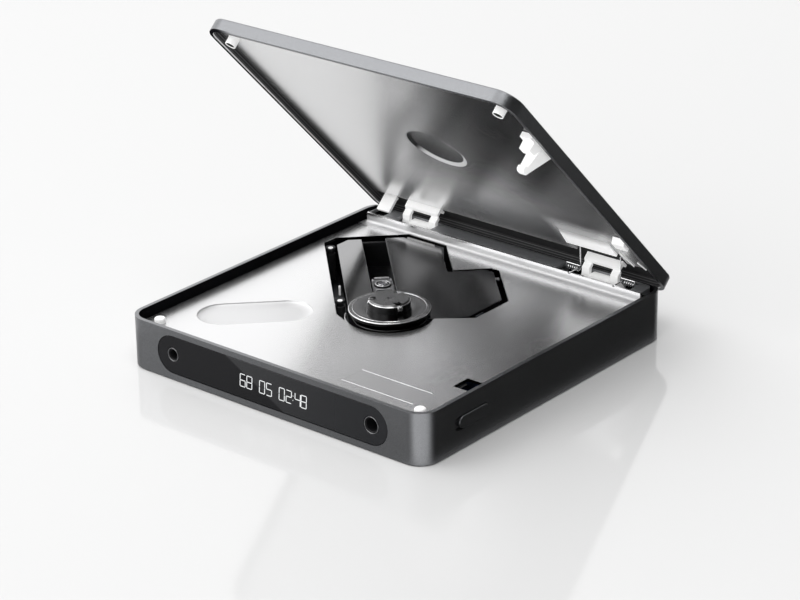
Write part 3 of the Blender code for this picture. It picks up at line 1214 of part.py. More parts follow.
def build_hub(metal):
    """Disc hub with a chamfered top, a dimple and a slot for each jaw."""
    centre = (0.0, SPINDLE_Y)
    profile = (
        (HUB_RADIUS, TURNTABLE_TOP),
        (HUB_RADIUS, HUB_TOP - HUB_CHAMFER),
        (HUB_RADIUS - HUB_CHAMFER, HUB_TOP),
    )
    hub = turned("disc_hub", profile, centre, metal)
    dimple = ((HUB_DIMPLE_RADIUS / 2, HUB_TOP - HUB_DIMPLE_DEPTH),
              (HUB_DIMPLE_RADIUS, HUB_TOP + FIT))
    cut(hub, turned("hub_dimple", dimple, centre, steps=FINE_STEPS))
    reach = HUB_RADIUS + JAW_PROUD - JAW_LENGTH - JAW_TRAVEL - GAP
    for index in range(JAW_COUNT):
        outline = jaw_outline(index, reach, HUB_RADIUS + OVERRUN, JAW_WIDTH / 2 + GAP)
        cut(hub, prism(f"jaw_slot_{index + 1}", outline, JAW_BOTTOM - GAP, HUB_TOP + OVERRUN))
    return hub


def jaw_angle(index):
    return JAW_FIRST_ANGLE + index * math.tau / JAW_COUNT


def jaw_outline(index, inner, outer, half):
    """A radial bar between two radii at a jaw's angle."""
    out = Vector((math.cos(jaw_angle(index)), math.sin(jaw_angle(index))))
    side = Vector((-out.y, out.x))
    corners = rectangle(inner, outer, -half, half)
    return [(out.x * a + side.x * b, SPINDLE_Y + out.y * a + side.y * b) for a, b in corners]


def build_jaw(index, steel):
    """Sprung jaw with a rounded nose that grips the disc's hole."""
    nose = HUB_RADIUS + JAW_PROUD
    heel = nose - JAW_LENGTH
    half = (JAW_TOP - JAW_BOTTOM) / 2
    middle = JAW_BOTTOM + half
    out = Vector((math.cos(jaw_angle(index)), math.sin(jaw_angle(index)), 0.0))
    side = Vector((-out.y, out.x, 0.0))
    centre = Vector((0.0, SPINDLE_Y, middle))
    front = arc((nose - half, 0.0), half, -math.pi / 2, math.pi / 2, CORNER_STEPS)
    outline = [(heel, half), (heel, -half)] + front
    rings = []
    for width in (-JAW_WIDTH / 2, JAW_WIDTH / 2):
        rings.append([centre + out * a + side * width + Vector((0.0, 0.0, b)) for a, b in outline])
    return ring_solid(f"hub_jaw_{index + 1}", rings, steel)


def build_spindle_motor(steel):
    """Motor that hangs under the chassis roof, with a bore for the shaft."""
    centre = (0.0, SPINDLE_Y)
    top = CHASSIS_CEILING - GAP
    profile = (
        (SPINDLE_MOTOR_RADIUS - EDGE_ROUND, SPINDLE_MOTOR_BOTTOM),
        (SPINDLE_MOTOR_RADIUS, SPINDLE_MOTOR_BOTTOM + EDGE_ROUND),
        (SPINDLE_MOTOR_RADIUS, top),
    )
    motor = turned("spindle_motor", profile, centre, steel)
    bore = circle(centre, SHAFT_RADIUS + GAP, FINE_STEPS)
    return cut(motor, prism("motor_bore", bore, SHAFT_BOTTOM - GAP, top + OVERRUN))


def along_drive(name, u_low, u_high, v, level, radius, finish, steps=FINE_STEPS):
    """A round bar along the drive's run."""
    rings = []
    for u in (u_low, u_high):
        rings.append([(*drive_point(u, v + a), level + b) for a, b in circle((0.0, 0.0), radius, steps)])
    return ring_solid(name, rings, finish)


def build_rods(steel):
    """Two guide rods, between the motor and the far skirt."""
    for name, offset in (("guide_rod_left", -ROD_OFFSET), ("guide_rod_right", ROD_OFFSET)):
        along_drive(name, ROD_START, DRIVE_FAR - ROD_END_GAP, offset, ROD_LEVEL, ROD_RADIUS, steel)


def build_sled(grey):
    """Pickup sled on the rods, with a neck up through the track and a foot on the drive screw."""
    u_low, u_high = LENS_REST - SLED_LENGTH / 2, LENS_REST + SLED_LENGTH / 2
    low, high = SLED_BOTTOM, SLED_TOP
    outline = drive_box(u_low, u_high, -SLED_HALF_WIDTH, SLED_HALF_WIDTH)
    sled = prism("pickup_sled", outline, low, high, grey)
    half_neck = SLED_NECK_LENGTH / 2
    neck = drive_box(LENS_REST - half_neck, LENS_REST + half_neck, -SLED_NECK_WIDTH / 2,
                     SLED_NECK_WIDTH / 2)
    join(sled, prism("sled_neck", neck, high - OVERRUN, SLED_NECK_TOP))
    nut_top = SCREW_DRIVE_LEVEL - SCREW_DRIVE_RADIUS - FIT
    foot = drive_box(LENS_REST - NUT_WIDTH / 2, LENS_REST + NUT_WIDTH / 2,
                     SLED_HALF_WIDTH - OVERRUN, SCREW_DRIVE_OFFSET + SCREW_DRIVE_RADIUS)
    join(sled, prism("sled_foot", foot, nut_top - NUT_HEIGHT, nut_top))
    rise = drive_box(LENS_REST - NUT_WIDTH / 2, LENS_REST + NUT_WIDTH / 2,
                     SLED_HALF_WIDTH - OVERRUN, SLED_HALF_WIDTH + OVERRUN / 2)
    join(sled, prism("sled_rise", rise, nut_top - NUT_HEIGHT, low + OVERRUN))
    for side, sign in (("left", -1), ("right", 1)):
        groove = along_drive(f"sled_groove_{side}", u_low - OVERRUN, u_high + OVERRUN,
                             sign * ROD_OFFSET, ROD_LEVEL, ROD_RADIUS + FIT, None)
        cut(sled, groove)
    place = drive_point(LENS_REST, 0.0)
    well = circle(place, SLED_WELL_RADIUS)
    floor = LENS_HOLDER_TOP - LENS_WELL_DEPTH
    return cut(sled, prism("sled_well", well, floor, SLED_NECK_TOP + OVERRUN))


def build_lens(grey, glass):
    """Lens holder that floats in the sled's well, and the lens in its top."""
    place = drive_point(LENS_REST, 0.0)
    top = LENS_HOLDER_TOP
    seat = top - LENS_CROWN
    profile = (
        (LENS_HOLDER_RADIUS, top - LENS_HOLDER_HEIGHT),
        (LENS_HOLDER_RADIUS, top - FIT),
        (LENS_HOLDER_RADIUS - FIT, top),
        (LENS_RADIUS + FIT, top),
        (LENS_RADIUS + FIT, seat - GAP),
    )
    holder = turned("lens_holder", profile, place, grey, steps=SMALL_STEPS)
    crown = [(LENS_RADIUS * math.cos(t), seat + LENS_CROWN * math.sin(t))
             for t in np.linspace(0.0, LENS_CROWN_TURN, CROWN_STEPS)]
    lens = turned("pickup_lens", [(LENS_RADIUS, seat - FIT / 2)] + crown, place, glass,
                  steps=SMALL_STEPS)
    return holder, lens


def build_screw_drive(steel):
    """Screw that moves the sled, in line with its motor."""
    end = DRIVE_FAR - SCREW_DRIVE_END_GAP
    return along_drive("drive_screw", SCREW_DRIVE_START, end, SCREW_DRIVE_OFFSET,
                       SCREW_DRIVE_LEVEL, SCREW_DRIVE_RADIUS, steel)


def build_sled_motor(steel):
    end = SCREW_DRIVE_START - GAP
    return along_drive("sled_motor", end - SLED_MOTOR_LENGTH, end, SCREW_DRIVE_OFFSET,
                       SCREW_DRIVE_LEVEL, SLED_MOTOR_RADIUS, steel, SMALL_STEPS)


def build_main_board(green):
    """Circuit board behind the front wall, with its larger chips."""
    half = SIDE - BOARD_SIDE_INSET
    front = FRONT + BOARD_FRONT_GAP
    rear = BOARD_REAR
    top = BOARD_LEVEL + BOARD_THICKNESS
    board = prism("main_board", rectangle(-half, half, front, rear), BOARD_LEVEL, top, green)
    middle = (front + rear) / 2
    for index, (place, size) in enumerate(zip(CHIP_X_SHARES, CHIP_SIZE_SHARES)):
        x, reach = place * 2 * half, size * half
        chip = rectangle(x - reach, x + reach, middle, middle + reach)
        join(board, prism(f"chip_{index + 1}", chip, top - BOARD_THICKNESS / 2, top + CHIP_HEIGHT))
    return board


def build_battery(blue):
    """Flat cell at the right rear."""
    left, right = WING_REACH + BATTERY_DRIVE_GAP, SIDE - WALL - LEDGE_DEPTH - GAP
    front = BOARD_REAR + BATTERY_BOARD_GAP
    rear = BRACKET_FRONT - BRACKET_FOOT_REACH - BATTERY_HINGE_GAP
    outline = rounded_rectangle(left, right, front, rear, BATTERY_ROUND, CORNER_STEPS // 2)
    return prism("battery_cell", outline, BATTERY_BOTTOM, BATTERY_BOTTOM + BATTERY_HEIGHT, blue)


def clear_scene():
    for item in list(bpy.data.objects):
        bpy.data.objects.remove(item, do_unlink=True)


def build():
    clear_scene()
    gunmetal = material("gunmetal", (0.115, 0.118, 0.122), 0.42, 0.9)
    silver = material("silver_moulding", (0.55, 0.55, 0.56), 0.4, 0.6)
    white = material("white_moulding", (0.82, 0.82, 0.81), 0.45)
    black = material("black_moulding", (0.02, 0.02, 0.022), 0.5)
    grey = material("grey_moulding", (0.28, 0.28, 0.29), 0.5)
    glass = material("window_glass", (0.012, 0.012, 0.014), 0.06)
    mirror = material("dark_plate", (0.09, 0.09, 0.095), 0.12, 1.0)
    platter = material("turntable_metal", (0.16, 0.16, 0.17), 0.38, 0.9)
    steel = material("bright_steel", (0.62, 0.62, 0.63), 0.25, 1.0)
    rubber = material("black_rubber", (0.03, 0.03, 0.032), 0.75)
    board = material("circuit_board", (0.02, 0.14, 0.06), 0.5)
    cell = material("battery_wrap", (0.05, 0.09, 0.22), 0.45)
    lens = material("lens_glass", (0.25, 0.22, 0.4), 0.05)

    build_base_shell(gunmetal)
    build_bottom_cover(gunmetal)
    build_feet(rubber)
    build_deck(silver)
    build_deck_pads(white)
    build_window(glass)
    build_display(black)
    build_jack("jack_small", -JACK_X, WINDOW_LEVEL, SMALL_JACK_RING_RADIUS, SMALL_JACK_BORE_RADIUS,
               FRONT, 1, steel)
    build_jack("jack_large", JACK_X, WINDOW_LEVEL, LARGE_JACK_RING_RADIUS, LARGE_JACK_BORE_RADIUS,
               FRONT, 1, steel)
    build_jack("line_out", LINE_OUT_X, REAR_SOCKET_LEVEL, LINE_OUT_RING_RADIUS,
               LINE_OUT_BORE_RADIUS, REAR, -1, steel, REAR_SOCKET_LENGTH)
    build_usb_socket(steel)
    build_main_board(board)
    build_battery(cell)
    build_key_board(board)
    build_hinge_shelf(gunmetal)
    for sign, name in ((-1, "inner"), (1, "outer")):
        build_spring(f"hinge_spring_{name}", sign, steel)

    build_drive_plate(mirror)
    build_drive_chassis(black)
    build_dampers(white)
    build_spindle_motor(steel)
    build_rods(steel)
    build_sled_motor(steel)

    lid_axis = pivot("lid_axis", (0.0, HINGE_Y, HINGE_LEVEL), -LID_OPEN_ANGLE)
    lid = [build_lid_shell(gunmetal), build_lid_liner(silver), build_latch_claw(white),
           build_lid_tab(white), build_lid_stop(white)]
    for sign, side in ((-1, "left"), (1, "right")):
        build_hinge_bracket(side, sign, white)
        build_hinge_pin(side, sign, steel)
        lid.append(build_hinge_arm(side, sign, white))
        lid.append(build_lid_post(side, sign, white))
    bpy.context.view_layer.update()
    carry(lid_axis, *lid)

    spindle = pivot("spindle_axis", (0.0, SPINDLE_Y, TURNTABLE_TOP))
    carry(spindle, *build_turntable(platter, rubber, steel), build_hub(platter))
    for index in range(JAW_COUNT):
        jaw = build_jaw(index, steel)
        reach = HUB_RADIUS - JAW_LENGTH / 2
        spot = (reach * math.cos(jaw_angle(index)), SPINDLE_Y + reach * math.sin(jaw_angle(index)))
        carry(pivot(f"jaw_run_{index + 1}", (*spot, (JAW_BOTTOM + JAW_TOP) / 2)), jaw)

    lens_place = drive_point(LENS_REST, 0.0)
    carry(pivot("sled_run", (*lens_place, ROD_LEVEL)), build_sled(grey))
    carry(pivot("lens_run", (*lens_place, LENS_HOLDER_TOP)), *build_lens(grey, lens))
    screw_place = drive_point(SCREW_DRIVE_START, SCREW_DRIVE_OFFSET)
    carry(pivot("screw_axis", (*screw_place, SCREW_DRIVE_LEVEL)), build_screw_drive(steel))

    slide_place = (SIDE, SLIDE_FRONT + SLIDE_SLOT_LENGTH / 2, SLIDE_LEVEL)
    carry(pivot("slide_run", slide_place), *build_open_slide(gunmetal, grey))
    names = ("key_previous", "key_play", "key_next", "key_volume_down", "key_volume_up")
    for name, middle in zip(names, key_places()):
        carry(pivot(f"{name}_run", (-SIDE, middle, SLIDE_LEVEL)), build_key(name, middle, gunmetal))


build()
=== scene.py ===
import math

import bmesh
import bpy
from mathutils import Matrix, Vector


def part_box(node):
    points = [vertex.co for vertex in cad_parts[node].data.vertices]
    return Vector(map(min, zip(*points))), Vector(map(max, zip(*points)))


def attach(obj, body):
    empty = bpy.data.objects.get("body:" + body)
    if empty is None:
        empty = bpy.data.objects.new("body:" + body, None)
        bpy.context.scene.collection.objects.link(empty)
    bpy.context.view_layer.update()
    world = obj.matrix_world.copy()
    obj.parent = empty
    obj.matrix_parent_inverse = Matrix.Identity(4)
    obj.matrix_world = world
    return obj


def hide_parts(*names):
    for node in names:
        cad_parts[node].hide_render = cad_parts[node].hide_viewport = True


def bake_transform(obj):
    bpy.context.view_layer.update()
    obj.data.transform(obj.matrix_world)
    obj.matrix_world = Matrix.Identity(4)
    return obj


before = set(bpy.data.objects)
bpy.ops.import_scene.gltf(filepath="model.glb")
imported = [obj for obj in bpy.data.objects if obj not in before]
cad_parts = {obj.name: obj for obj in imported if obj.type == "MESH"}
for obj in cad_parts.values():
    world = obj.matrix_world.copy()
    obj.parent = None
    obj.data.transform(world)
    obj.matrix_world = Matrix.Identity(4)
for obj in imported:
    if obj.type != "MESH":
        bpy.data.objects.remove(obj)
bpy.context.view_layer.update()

MM = 0.001
scene = bpy.context.scene
scene.view_settings.view_transform = "Standard"


# Camera. A long lens from the player's front right, a little above it, as a table-top
# photograph is taken. Its place was worked out from the edges of the base and the lid.
def add_object(name, data):
    """An object in the scene, at the origin."""
    thing = bpy.data.objects.new(name, data)
    scene.collection.objects.link(thing)
    return thing


camera_turn, camera_lift, camera_tilt = map(math.radians, (40.227, 23.482, -0.916))
camera_target, camera_distance = Vector((0.47, 0.4, 19.24)) * MM, 997.35 * MM
towards_camera = Vector((
    math.sin(camera_turn) * math.cos(camera_lift),
    -math.cos(camera_turn) * math.cos(camera_lift),
    math.sin(camera_lift)))
level = Vector((math.cos(camera_turn), math.sin(camera_turn), 0))
upward = towards_camera.cross(level)
camera_right = level * math.cos(camera_tilt) + upward * math.sin(camera_tilt)
camera_up = upward * math.cos(camera_tilt) - level * math.sin(camera_tilt)
camera = add_object("camera", bpy.data.cameras.new("camera"))
camera.data.sensor_width, camera.data.lens, camera.data.clip_start = 36, 128.05, 0.01
turned = Matrix((camera_right, camera_up, towards_camera)).transposed().to_4x4()
camera.matrix_world = Matrix.Translation(camera_target + towards_camera * camera_distance) @ turned
scene.camera = camera


# Floor. A pale polished table top that runs out of sight, white to the camera. It keeps the
# player's soft shadow and mirrors its walls faintly. In reflections only it is painted darker in
# front of the player and at its right, and brighter at the corner between: painted reflections
# that darken the metal walls and put a painted highlight on the front corner.
class Value:
    """A socket of a node tree, so that shader maths reads as plain arithmetic."""

    def __init__(self, tree, socket):
        self.tree, self.socket = tree, socket

    def maths(self, operation, first, second):
        node = self.tree.nodes.new("ShaderNodeMath")
        node.operation = operation
        for place, term in zip(node.inputs, (first, second)):
            if isinstance(term, Value):
                self.tree.links.new(term.socket, place)
            else:
                place.default_value = term
        return Value(self.tree, node.outputs[0])

    def __add__(self, other):
        return self.maths("ADD", self, other)

    def __radd__(self, other):
        return self.maths("ADD", other, self)

    def __sub__(self, other):
        return self.maths("SUBTRACT", self, other)

    def __rsub__(self, other):
        return self.maths("SUBTRACT", other, self)

    def __mul__(self, other):
        return self.maths("MULTIPLY", self, other)

    def __rmul__(self, other):
        return self.maths("MULTIPLY", other, self)

    def larger(self, other):
        return self.maths("MAXIMUM", self, other)


class Graph:
    """A tree whose nodes are added one at a time. Its node types' names begin with its family."""

    family = "ShaderNode"

    def __init__(self, tree):
        self.tree = tree

    def fill(self, node, values):
        for name, value in values.items():
            place = node.inputs[int(name[1:]) if name[1:].isdigit() else name.replace("_", " ")]
            if isinstance(value, Value):
                self.tree.links.new(value.socket, place)
            elif place.type == "RGBA":
                place.default_value = (*value, 1)
            else:
                place.default_value = value

    def node(self, kind, settings=(), out=0, **values):
        """Any other node: its type, its settings, then its sockets' values or links."""
        node = self.tree.nodes.new(self.family + kind)
        for name, value in dict(settings).items():
            setattr(node, name, value)
        self.fill(node, values)
        return Value(self.tree, node.outputs[out])

    def spot(self, scale=(1, 1, 1), turn=(0, 0, 0), shift=(0, 0, 0)):
        """Where a point is on the player, in metres, moved, turned or stretched for a pattern."""
        spot = self.node("TexCoord", out="Object")
        return self.node("Mapping", Vector=spot, Scale=scale, Rotation=turn, Location=shift)

    def axis(self, where, name):
        """One coordinate of a place."""
        return self.node("SeparateXYZ", out=name, Vector=where)

    def vector(self, operation, first, second=(0, 0, 0), out=0):
        """Vector maths on a place."""
        return self.node("VectorMath", {"operation": operation}, out=out, _0=first, _1=second)

    def off_axis(self, where):
        """How far a place is from the upright axis."""
        return self.vector("LENGTH", self.vector("MULTIPLY", where, (1, 1, 0)), out="Value")

    def noise(self, size, detail=2.0, where=None):
        """Soft random variation from 0 to 1, in patches of about a size in metres."""
        where = where or self.spot()
        return self.node("TexNoise", Vector=where, Scale=1 / size, Detail=detail)

    def between(self, mask, low, high):
        """A colour between two, by a mask."""
        return self.node("Mix", {"data_type": "RGBA"}, out=2, _0=mask, _6=low, _7=high)

    def range(self, mask, low, high):
        """A number between two, by a mask."""
        return mask * (high - low) + low

    def step(self, value, start, end):
        """A mask that goes smoothly from 0 at a start to 1 at an end, either way round."""
        smooth = {"interpolation_type": "SMOOTHSTEP"}
        return self.node("MapRange", smooth, Value=value, From_Min=start, From_Max=end)

    def rays(self):
        """Whether what looks is the camera, a reflection, or a look through something clear."""
        kinds = ("Camera", "Glossy", "Transmission")
        return [self.node("LightPath", out=f"Is {kind} Ray") for kind in kinds]


class Finish(Graph):
    """A material built round its main shader."""

    def __init__(self, name, **values):
        self.material = bpy.data.materials.new(name)
        self.material.use_nodes = True
        super().__init__(self.material.node_tree)
        self.shader = self.tree.nodes["Principled BSDF"]
        self.output = self.tree.nodes["Material Output"]
        self.fill(self.shader, values)

    def relief(self, height, depth):
        """Bumps of a depth in metres on the main shader."""
        self.fill(self.shader, {"Normal": self.node("Bump", Height=height, Distance=depth)})

    def vary(self, mask, colours, roughness, depth=None):
        """A colour and a roughness that go from one value to another by a mask, with its relief."""
        self.fill(self.shader, {
            "Base Color": self.between(mask, *colours), "Roughness": self.range(mask, *roughness)})
        if depth:
            self.relief(mask, depth)

    def cover(self, mask, colour):
        """A dull colour over part of the surface, no shine even edge-on: painted shade or highlight."""
        under = Value(self.tree, self.output.inputs["Surface"].links[0].from_socket)
        dull = self.node("BsdfDiffuse", Color=colour)
        self.fill(self.output, {"Surface": self.node("MixShader", _0=mask, _1=under, _2=dull)})


table_top = Finish("table_top")
by_eye, by_mirror, by_glass = table_top.rays()
place = table_top.spot()
across, along = table_top.axis(place, "X"), table_top.axis(place, "Y")
# Painted reflections: patches that only reflections see, dark in front and at the right, bright at the front
# right corner.
front_dark_reflection = table_top.step(along, -56 * MM, -72 * MM) * table_top.step(across, 66 * MM, 56 * MM)
front_dark_reflection = front_dark_reflection * table_top.step(across, -98 * MM, -88 * MM)
corner_bright_reflection = table_top.step(along, -60 * MM, -68 * MM) * table_top.step(across, 60 * MM, 68 * MM)
right_dark_reflection = table_top.step(across, 66 * MM, 72 * MM) * table_top.step(along, -68 * MM, -58 * MM)
front_tone = table_top.range(table_top.step(across, -60 * MM, 60 * MM), 0.38, 0.16)
right_tone = table_top.range(table_top.step(across, 90 * MM, 260 * MM), 0.02, 0.2)
tone = table_top.range(front_dark_reflection, 1, front_tone) + corner_bright_reflection * 1.2
bounce = table_top.range(by_eye, 1.5, 1)
tone = table_top.range(by_mirror, bounce, table_top.range(right_dark_reflection, tone, right_tone))
paper = table_top.node("BsdfDiffuse", Color=tone * 0.64)
looked_at = by_eye.larger(by_mirror).larger(by_glass)
white = table_top.node("Emission", Color=(1, 1, 1), Strength=looked_at * tone * 0.06)
matt = table_top.node("AddShader", _0=paper, _1=white)
polish = table_top.node("BsdfGlossy", Color=(1, 1, 1), Roughness=0.08)
sheen = table_top.node("Fresnel", IOR=1.36)
polished = table_top.node("MixShader", _0=sheen, _1=matt, _2=polish)
table_top.fill(table_top.output, {"Surface": polished})
floor_reach, floor_level = 9, -0.02 * MM
floor_mesh = bpy.data.meshes.new("floor")
floor_mesh.from_pydata(
    [(x * floor_reach, y * floor_reach, floor_level) for x, y in ((-1, -1), (1, -1), (1, 1), (-1, 1))],
    [], [(0, 1, 2, 3)])
floor_mesh.materials.append(table_top.material)
floor = add_object("floor", floor_mesh)


# Light. A white room, brighter at the left than at the right, with a soft box high at the
# left for the lid's front edge, two low in front and one overhead for the white mouldings.
room = bpy.data.worlds.new("room")
room.use_nodes = True
scene.world = room
walls = Graph(room.node_tree)
by_eye, by_mirror, by_glass = walls.rays()
way = walls.node("TexCoord", out="Generated")
to_right, to_rear = walls.axis(way, "X"), walls.axis(way, "Y")
mirrored = walls.range(walls.step(to_right, -0.1, 0.6), 1.5, 0.03)
shone = walls.range(walls.step(to_right * 0.8 + to_rear * 0.6, 0.6, -0.6), 0.16, 1.6)
walls.fill(room.node_tree.nodes["Background"], {
    "Color": (1, 1, 1),
    "Strength": walls.range(by_mirror, walls.range(by_eye.larger(by_glass), shone, 1), mirrored)})

soft_boxes = (
    ("key_light", (-0.75, -0.5, 1.0), 0.8, 3.3),
    ("front_light", (-0.85, -1.1, 0.57), 0.75, 2.4),
    ("fill_light", (0.4, -1.4, 0.4), 0.7, 1.6),
    ("top_light", (0.4, -0.3, 1.4), 0.7, 5.4),
)
lamp_aim = Vector((0, 0, 30)) * MM
for name, place, width, power in soft_boxes:
    lamp = bpy.data.lights.new(name, "AREA")
    lamp.shape, lamp.size, lamp.energy = "SQUARE", width, power
    aim = (Vector(place) - lamp_aim).to_track_quat("Z", "Y").to_matrix().to_4x4()
    add_object(name, lamp).matrix_world = Matrix.Translation(place) @ aim


# Base shell. One ring of aluminium, milled, bead-blasted and anodised dark grey, with the
# openings for the window, slide, keys and sockets cut through its walls. Its inner walls are
# painted a dull black, as painted shade.
inner_side, inner_front, inner_round = 65.5 * MM, 66.25 * MM, 6.2 * MM
# A near black for painted shade.
painted_shade_black = (0.006, 0.006, 0.007)


def anodised(name, tones=(0.14, 0.24)):
    """The dark grey metal, with its fine blasted grain."""
    metal = Finish(name, Metallic=1.0)
    grain = metal.noise(0.16 * MM, 3)
    drift = metal.noise(26 * MM)
    dark, light = [(tone, tone * 1.02, tone * 1.06) for tone in tones]
    metal.fill(metal.shader, {
        "Base Color": metal.between(metal.step(grain, 0.3, 0.7) * 0.8 + drift * 0.2, dark, light),
        "Roughness": metal.range(drift * 0.5 + grain * 0.5, 0.29, 0.4)})
    metal.relief(grain, 0.03 * MM)
    return metal


def inner_wall(metal, where):
    """A mask of a case's inner walls: all that is within its rounded inner outline."""
    out = metal.vector("SUBTRACT", metal.vector("ABSOLUTE", where), (
        inner_side - inner_round, inner_front - inner_round, 0))
    reach = metal.off_axis(metal.vector("MAXIMUM", out))
    return metal.step(reach, inner_round + 0.08 * MM, inner_round + 0.02 * MM)


def as_mesh(form, name, finish=None, crease=None):
    """A drawn form as a mesh with a finish, smooth but for corners past the crease in degrees."""
    mesh = bpy.data.meshes.new(name)
    form.to_mesh(mesh)
    form.free()
    if finish:
        mesh.materials.append(finish.material)
    if crease:
        mesh.shade_smooth()
        mesh.set_sharp_from_angle(angle=math.radians(crease))
    return mesh


def cut_out(thing, cutter):
    """Takes one object's form out of another, as a live modifier."""
    cut = thing.modifiers.new("cut", "BOOLEAN")
    cut.operation, cut.solver, cut.object = "DIFFERENCE", "EXACT", cutter


def settled(draft):
    """What a draft's modifiers make of it, as a plain mesh in the draft's place."""
    mesh = bpy.data.meshes.new_from_object(
        draft.evaluated_get(bpy.context.evaluated_depsgraph_get()))
    bpy.data.objects.remove(draft)
    return mesh


def soften(node, finish, edge, shift, cutters, reshape):
    """A CAD node's form with clean faces, softened edges and a finish, as a plain mesh."""
    form = bmesh.new()
    form.from_mesh(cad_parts[node].data)
    bmesh.ops.remove_doubles(form, verts=form.verts, dist=0.003 * MM)
    flat = math.radians(0.6)
    bmesh.ops.dissolve_limit(form, angle_limit=flat, verts=form.verts, edges=form.edges)
    bmesh.ops.translate(form, verts=form.verts, vec=shift)
    for corner in form.verts if reshape else ():
        corner.co = reshape(corner.co)
    mesh = as_mesh(form, node, finish)
    mesh.shade_smooth()
    draft = add_object(node, mesh)
    for cutter in cutters:
        cut_out(draft, cutter)
    bevel = draft.modifiers.new("edges", "BEVEL")
    bevel.width, bevel.segments, bevel.limit_method = edge, 2, "ANGLE"
    bevel.angle_limit = math.radians(28)
    bevel.harden_normals = True
    even = draft.modifiers.new("even", "WEIGHTED_NORMAL")
    even.keep_sharp = True
    return settled(draft)


def finish_mesh(name, mesh, body, nodes=()):
    """Makes a mesh a piece of the player: it moves with a body and stands for CAD nodes."""
    piece = add_object(name, mesh)
    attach(piece, body)
    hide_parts(*nodes)


def dress(node, finish, body, edge=0.12 * MM, shift=(0, 0, 0), cutters=(), reshape=None):
    """Puts a softened copy of a CAD node in its place."""
    mesh = soften(node, finish, edge, shift, cutters, reshape)
    finish_mesh(f"{node}_finished", mesh, body, [node])


gunmetal = anodised("gunmetal")
shell_metal = anodised("shell_metal")
shell_metal.cover(inner_wall(shell_metal, shell_metal.spot()), painted_shade_black)
dress("base_shell", shell_metal, "base", 0.18 * MM)


# Bottom cover. A flat aluminium plate let into the underside, held by eight cross-head
# screws in shallow pockets.
screw_places = [(x * MM, y * MM) for x, y in (
    (-60, -30), (-60, 30), (60, -30), (60, 30), (-28, -60), (28, -60), (-28, 60), (28, 60))]
screw_radius, screw_head, screw_pocket = 1.5 * MM, 0.3 * MM, 0.35 * MM
head_middle = screw_pocket - 0.16 * MM
cross_long, cross_wide = 1.7 * MM, 0.4 * MM


def cone(name, radius, top_radius, height, steps, middle=(0, 0, 0)):
    """A round bar along Z, or one that tapers, as an object to cut with or to copy."""
    form = bmesh.new()
    bmesh.ops.create_cone(form, cap_ends=True, segments=steps, radius1=radius, radius2=top_radius,
                          depth=height, matrix=Matrix.Translation(middle))
    return add_object(name, as_mesh(form, name))


def add_block(form, middle, size, turn=Matrix.Identity(4)):
    """A block in a form, turned about its middle."""
    place = Matrix.Translation(middle) @ turn @ Matrix.Diagonal((*size, 1))
    bmesh.ops.create_cube(form, matrix=place)


pocket_radius, pocket_foot = screw_radius + 0.15 * MM, -MM
pockets = [cone("pocket", pocket_radius, pocket_radius, screw_pocket - pocket_foot, 32, (
    x, y, (screw_pocket + pocket_foot) / 2)) for x, y in screw_places]
dress("bottom_cover", gunmetal, "base", 0.1 * MM, cutters=pockets)
for pocket in pockets:
    bpy.data.objects.remove(pocket)

steel = Finish("bright_steel", Metallic=1.0)
scratch = steel.noise(0.5 * MM, 3, steel.spot(scale=(1, 9, 1)))
steel.vary(scratch, ((0.55, 0.55, 0.56), (0.7, 0.7, 0.71)), (0.18, 0.32), 0.004 * MM)

head = cone("screw_head", screw_radius, screw_radius * 0.92, screw_head, 24)
for long, wide in ((cross_long, cross_wide), (cross_wide, cross_long)):
    arm = bmesh.new()
    add_block(arm, (0, 0, -screw_head / 2), (long, wide, screw_head))
    cut_out(head, add_object("cross", as_mesh(arm, "cross")))


class Tree(Graph):
    """A geometry tree with named inputs, ending in real mesh with one finish."""

    family = ""

    def __init__(self, name, finish, **inputs):
        super().__init__(bpy.data.node_groups.new(name, "GeometryNodeTree"))
        for way in ("INPUT", "OUTPUT"):
            self.tree.interface.new_socket("Geometry", in_out=way, socket_type="NodeSocketGeometry")
        kinds = {float: "NodeSocketFloat", int: "NodeSocketInt"}
        self.inputs = []
        for label, value in inputs.items():
            socket = self.tree.interface.new_socket(
                label, in_out="INPUT", socket_type=kinds.get(type(value), "NodeSocketObject"))
            self.inputs.append((socket.identifier, value))
        self.start = self.tree.nodes.new("NodeGroupInput")
        self.finish = finish

    def given(self, label):
        """What a named input holds."""
        return Value(self.tree, self.start.outputs[label])

    def make(self, name, geometry, base):
        """Runs the tree on a base mesh or curve and gives the result as a plain mesh."""
        real = self.node("GeometryNodeRealizeInstances", Geometry=geometry)
        last = self.node("GeometryNodeSetMaterial", Geometry=real, Material=self.finish.material)
        end = self.tree.nodes.new("NodeGroupOutput")
        self.tree.links.new(last.socket, end.inputs[0])
        draft = add_object(name, base)
        maker = draft.modifiers.new(name, "NODES")
        maker.node_group = self.tree
        for identifier, value in self.inputs:
            maker[identifier] = value
        mesh = settled(draft)
        mesh.materials.clear()
        mesh.materials.append(self.finish.material)
        return mesh


screws = Tree("cover_screws", steel, Head=head, Seed=4)
heads = screws.node("GeometryNodeObjectInfo", Object=screws.given("Head"), out="Geometry")
any_turn = screws.node(
    "FunctionNodeRandomValue", {"data_type": "FLOAT"}, out=1, Seed=screws.given("Seed"))
points = screws.node(
    "GeometryNodeInstanceOnPoints", Points=screws.given("Geometry"), Instance=heads,
    Rotation=screws.node("ShaderNodeCombineXYZ", Z=any_turn * math.tau))
screw_points = bpy.data.meshes.new("screw_points")
screw_points.from_pydata([(x, y, head_middle) for x, y in screw_places], [], [])
finish_mesh("cover_screws", screws.make("cover_screws", points, screw_points), "base")
for spare in [head] + [cut.object for cut in head.modifiers]:
    bpy.data.objects.remove(spare)


# Feet. Four round pads of soft black rubber, each moulded with two shallow rings and glued into
# a pocket of the cover, flush with it.
rubber = Finish("black_rubber")
rubber.vary(rubber.noise(0.35 * MM, 4), ((0.018, 0.018, 0.019), (0.04, 0.04, 0.042)),
            (0.65, 0.85), 0.03 * MM)


